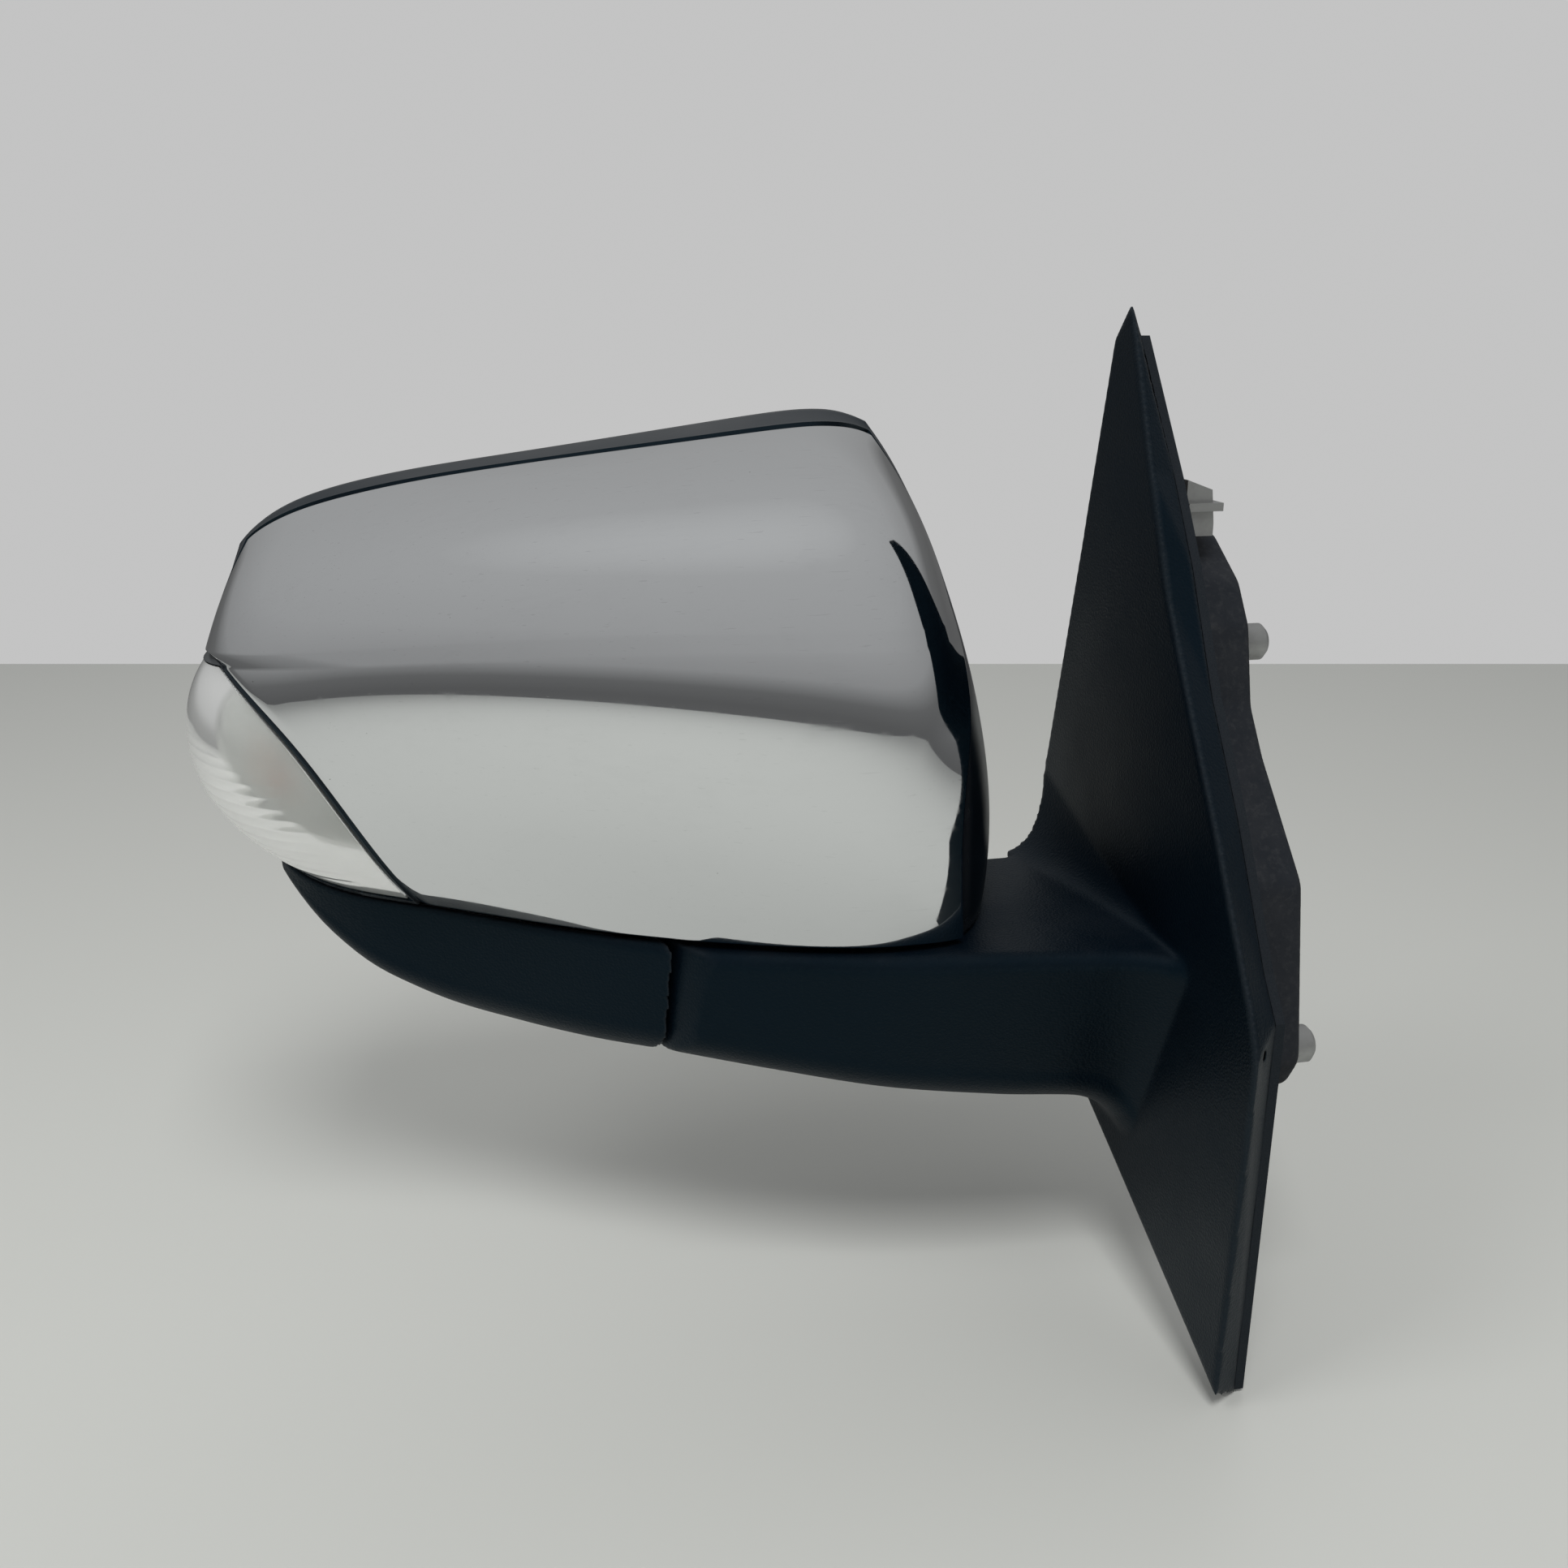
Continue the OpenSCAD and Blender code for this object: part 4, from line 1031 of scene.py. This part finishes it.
def cover_loft(name, wall, rise, r_top, last):
    """The lower cover's outer shape with its walls moved inwards, up to a last u."""
    sections = []
    for u in np.linspace(COVER_U[0], last, 50):
        edge = head_point(u, 0.0)
        low = float(smooth_through(COVER_U, COVER_LOW, u))
        top = edge[2] - 0.8
        soft = r_top * np.interp(u, [0.62, 0.85], [1.0, 0.35])
        front, rear = edge[1] + 6.5 * (u - 0.72) + wall, 77 + 14 * u - wall
        sections.append(rounded_section(
            edge[0], front, rear, low + wall, top + rise - wall, min(4, (top - low) / 6), soft, 13,
        ))
    return face_outwards(loft(name, sections))


def cone(name, r_low, r_high, low, high, centre, sides=160):
    """Closed upright cone between two radii."""
    turn = np.linspace(0, 2 * np.pi, sides, endpoint=False)
    rings = []
    for r, z in ((r_low, low), (r_high, high)):
        x, y = centre[0] + r * np.cos(turn), centre[1] + r * np.sin(turn)
        rings.append(np.stack([x, y, np.full(sides, float(z))], -1))
    return face_outwards(loft(name, rings))


def lower_cover():
    """Cover under the head, split from the arm on a cone about the fold axis."""
    cover = cover_loft("lower_cover_skin", 0, 0, 3.4, COVER_END)
    low, high = -60, 10
    tray = cover_loft("tray", COVER_WALL, 12, 0.2, 0.9)
    near, far = SPLIT_R + SPLIT_GAP, SPLIT_R + SPLIT_GAP + COVER_WALL
    combine(tray, "DIFFERENCE", cone("post", far, far + SPLIT_SLOPE, low, high, PIVOT))
    combine(cover, "DIFFERENCE", cone("split", near, near + SPLIT_SLOPE, low, high, PIVOT))
    side = prism("side", [(PIVOT[0], -20), (0, -20), (0, 120), (PIVOT[0], 120)], -100, 40, "z")
    combine(cover, "DIFFERENCE", tray, side)
    combine(cover, "UNION", cylinder("tower", TOWER_R, -43, -2.5, COVER_SCREW))
    combine(cover, "DIFFERENCE", cylinder("hole", SCREW_HOLE_R, -60, 0, COVER_SCREW))
    combine(cover, "DIFFERENCE", cylinder("seat", SCREW_SEAT_R, -60, -31, COVER_SCREW))
    remould(cover, voxel=0.8, passes=4)
    return finish_piece(cover, "head", "black_plastic", (black,), "lower_head_cover")


def rounded(outline, r, steps=8):
    """Rounds the corners of an outline."""
    p = np.asarray(outline, float)
    out = []
    for a, b, c in zip(np.roll(p, 1, 0), p, np.roll(p, -1, 0)):
        d0, d1 = unit(a - b), unit(c - b)
        bend = math.acos(max(-1, min(1, float(-(d0 @ d1)))))
        shorter = min(np.linalg.norm(a - b), np.linalg.norm(c - b))
        reach = min(r * math.tan(bend / 2), 0.45 * shorter)
        start, end = b + d0 * reach, b + d1 * reach
        for t in np.linspace(0, 1, steps):
            out.append((1 - t) ** 2 * start + 2 * t * (1 - t) * b + t * t * end)
    return np.array(out)


# The sealing block's outline in Y and Z, its X range and edge, and the ways through it
BLOCK = [
    (61, 117), (44, 117), (24, 104), (15, 91), (9, 66), (-1, 52), (-31, 20), (-40, -36),
    (-34, -46), (-29, -49), (20, -54), (76, -52), (82, -40), (82, 20), (71, 80), (66, 104),
]
BLOCK_X = (-4.0, 22.0)
BLOCK_EDGE_R = 3.0
STUD_BOSSES = ((24, 83.5), (-27.5, -36), (72, 4))
BOSS_WAY_R = 6.3
HARNESS = (54, 62)
GROMMET_WAY_R = 8.05


def seal_block():
    """Foam block behind the sail, its inboard edge rounded."""
    outline = rounded(BLOCK, 9)
    sections = [at_x(outline, BLOCK_X[0])]
    for turn in np.linspace(0, math.pi / 2, 7):
        ring = inset(outline, BLOCK_EDGE_R * (1 - math.cos(turn)))
        sections.append(at_x(ring, BLOCK_X[1] - BLOCK_EDGE_R * (1 - math.sin(turn))))
    block = face_outwards(loft("block_skin", sections))
    for centre in STUD_BOSSES:
        combine(block, "DIFFERENCE", cylinder("way", BOSS_WAY_R, -10, 30, centre, "x"))
    combine(block, "DIFFERENCE", cylinder("way", GROMMET_WAY_R, -10, 30, HARNESS, "x"))
    remould(block, voxel=1.0, passes=3)
    return finish_piece(block, "base", "block_foam", (foam,), "seal_block")


sail_and_arm()
lower_cover()
seal_block()


# ---------------------------------------------------------------- the CAD nodes that stay
LOOKS = {
    rubber: ("door_gasket", "harness_grommet"),
    alloy: ("base_bracket",),
    zinc: (
        "bracket_screws", "pivot_shaft", "detent_ring", "spring_retainer", "retaining_clip",
        "housing_screws", "actuator_screws", "pan_motor", "tilt_motor",
    ),
    spring_steel: ("fold_spring",),
    acetal: ("pivot_bush", "pan_wheel", "tilt_wheel", "pan_jackscrew", "tilt_jackscrew"),
    nylon: ("head_frame", "actuator_case", "actuator_cover", "glass_holder"),
    socket_grey: ("bulb_holder", "gimbal_ring"),
    amber: ("lamp_bulb",),
    heater_film: ("heater_pad",),
    silver: ("mirror_glass",),
}
for look, names in LOOKS.items():
    for name in names:
        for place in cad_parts[name].material_slots:
            place.material = look


# ---------------------------------------------------------------- camera and light
# Places in metres. The camera looks down 17 degrees and 12 degrees round to one side.
CAMERA_AT = (-0.2268, -0.43714, 0.18893)
AZIMUTH = math.radians(-12)
ELEVATION = math.radians(17)
FOCAL_MM = 36.056
SENSOR_MM = 36
FLOOR_SIZE = (5.0, 2.6, 1)
FLOOR_AT = (-0.165, -0.292)
# Brightness of the sky against height, from straight down to straight up, and of the wall behind
SKY = (
    (0.0, 0.20), (0.47, 0.11), (0.53, 0.14), (0.60, 0.30), (0.75, 0.38), (0.93, 0.42), (1.0, 0.5),
)
WALL_GREY = 0.55
# Soft lights: name, place, size in metres and power in watts, all aimed at one point
LIGHTS = (
    ("key", (-0.25, -0.8, 1.35), 0.55, 15),
    ("left", (-1.1, -0.3, 1.2), 0.5, 5),
    ("back", (0.3, 1.1, 1.3), 1.2, 3),
)
AIM = (-0.15, 0.03, 0.0)


def pale_floor():
    """Large pale table under the part's lowest point."""
    bpy.ops.mesh.primitive_plane_add(size=1)
    floor = bpy.context.object
    floor.name = "floor"
    floor.scale = FLOOR_SIZE
    floor.location = (*FLOOR_AT, cad_box[0][2])
    floor.rotation_euler = (0, 0, AZIMUTH)
    g = Graph("pale_table", (0.56, 0.568, 0.54), 0.42)
    cloud = g.noise(420, 4)
    g.tint(g.span(cloud, 0.3, 0.8, 0, 0.3), (0.50, 0.505, 0.475))
    g.roughen(cloud, 0.36, 0.5)
    g.bump(g.noise(2.5, 3), 0.02, 0.3)
    floor.data.materials.append(g.material)


def soft_sky():
    """World light that changes with height, and an even grey wall where the camera sees it."""
    world = bpy.data.worlds.new("studio")
    scene.world = world
    world.use_nodes = True
    tree = world.node_tree
    back = tree.nodes["Background"]
    where = tree.nodes.new("ShaderNodeTexCoord")
    split = tree.nodes.new("ShaderNodeSeparateXYZ")
    ramp = tree.nodes.new("ShaderNodeValToRGB")
    shift = tree.nodes.new("ShaderNodeMapRange")
    seen = tree.nodes.new("ShaderNodeLightPath")
    choose = tree.nodes.new("ShaderNodeMix")
    shift.inputs["From Min"].default_value = -1
    choose.data_type = "RGBA"
    choose.inputs["B"].default_value = (WALL_GREY, WALL_GREY, WALL_GREY, 1)
    back.inputs["Strength"].default_value = 1.0
    bar = ramp.color_ramp
    while len(bar.elements) < len(SKY):
        bar.elements.new(0.5)
    for element, (height, value) in zip(bar.elements, SKY):
        element.position = height
        element.color = (value, value * 1.005, value * 1.01, 1)
    for out, into in (
        (where.outputs["Generated"], split.inputs["Vector"]),
        (split.outputs["Z"], shift.inputs["Value"]),
        (shift.outputs["Result"], ramp.inputs["Fac"]),
        (seen.outputs["Is Camera Ray"], choose.inputs["Factor"]),
        (ramp.outputs["Color"], choose.inputs["A"]),
        (choose.outputs["Result"], back.inputs["Color"]),
    ):
        tree.links.new(out, into)


def soft_lights():
    """Square area lights that don't show in glossy surfaces."""
    for name, place, size, power in LIGHTS:
        data = bpy.data.lights.new(name, "AREA")
        data.size = size
        data.energy = power
        lamp = bpy.data.objects.new(name, data)
        scene.collection.objects.link(lamp)
        lamp.location = place
        lamp.visible_glossy = False
        lamp.rotation_euler = (Vector(AIM) - Vector(place)).to_track_quat("-Z", "Y").to_euler()


def camera():
    """The camera, level from side to side."""
    data = bpy.data.cameras.new("camera")
    data.sensor_width = SENSOR_MM
    data.lens = FOCAL_MM
    data.clip_start = 0.01
    cam = bpy.data.objects.new("camera", data)
    scene.collection.objects.link(cam)
    level = math.cos(ELEVATION)
    ahead = Vector((-math.sin(AZIMUTH) * level, math.cos(AZIMUTH) * level, -math.sin(ELEVATION)))
    right = Vector((math.cos(AZIMUTH), math.sin(AZIMUTH), 0))
    up = right.cross(ahead)
    turn = Matrix((right, up, -ahead)).transposed().to_4x4()
    cam.matrix_world = Matrix.Translation(CAMERA_AT) @ turn
    scene.camera = cam
    scene.view_settings.view_transform = "Standard"


pale_floor()
soft_sky()
soft_lights()
camera()
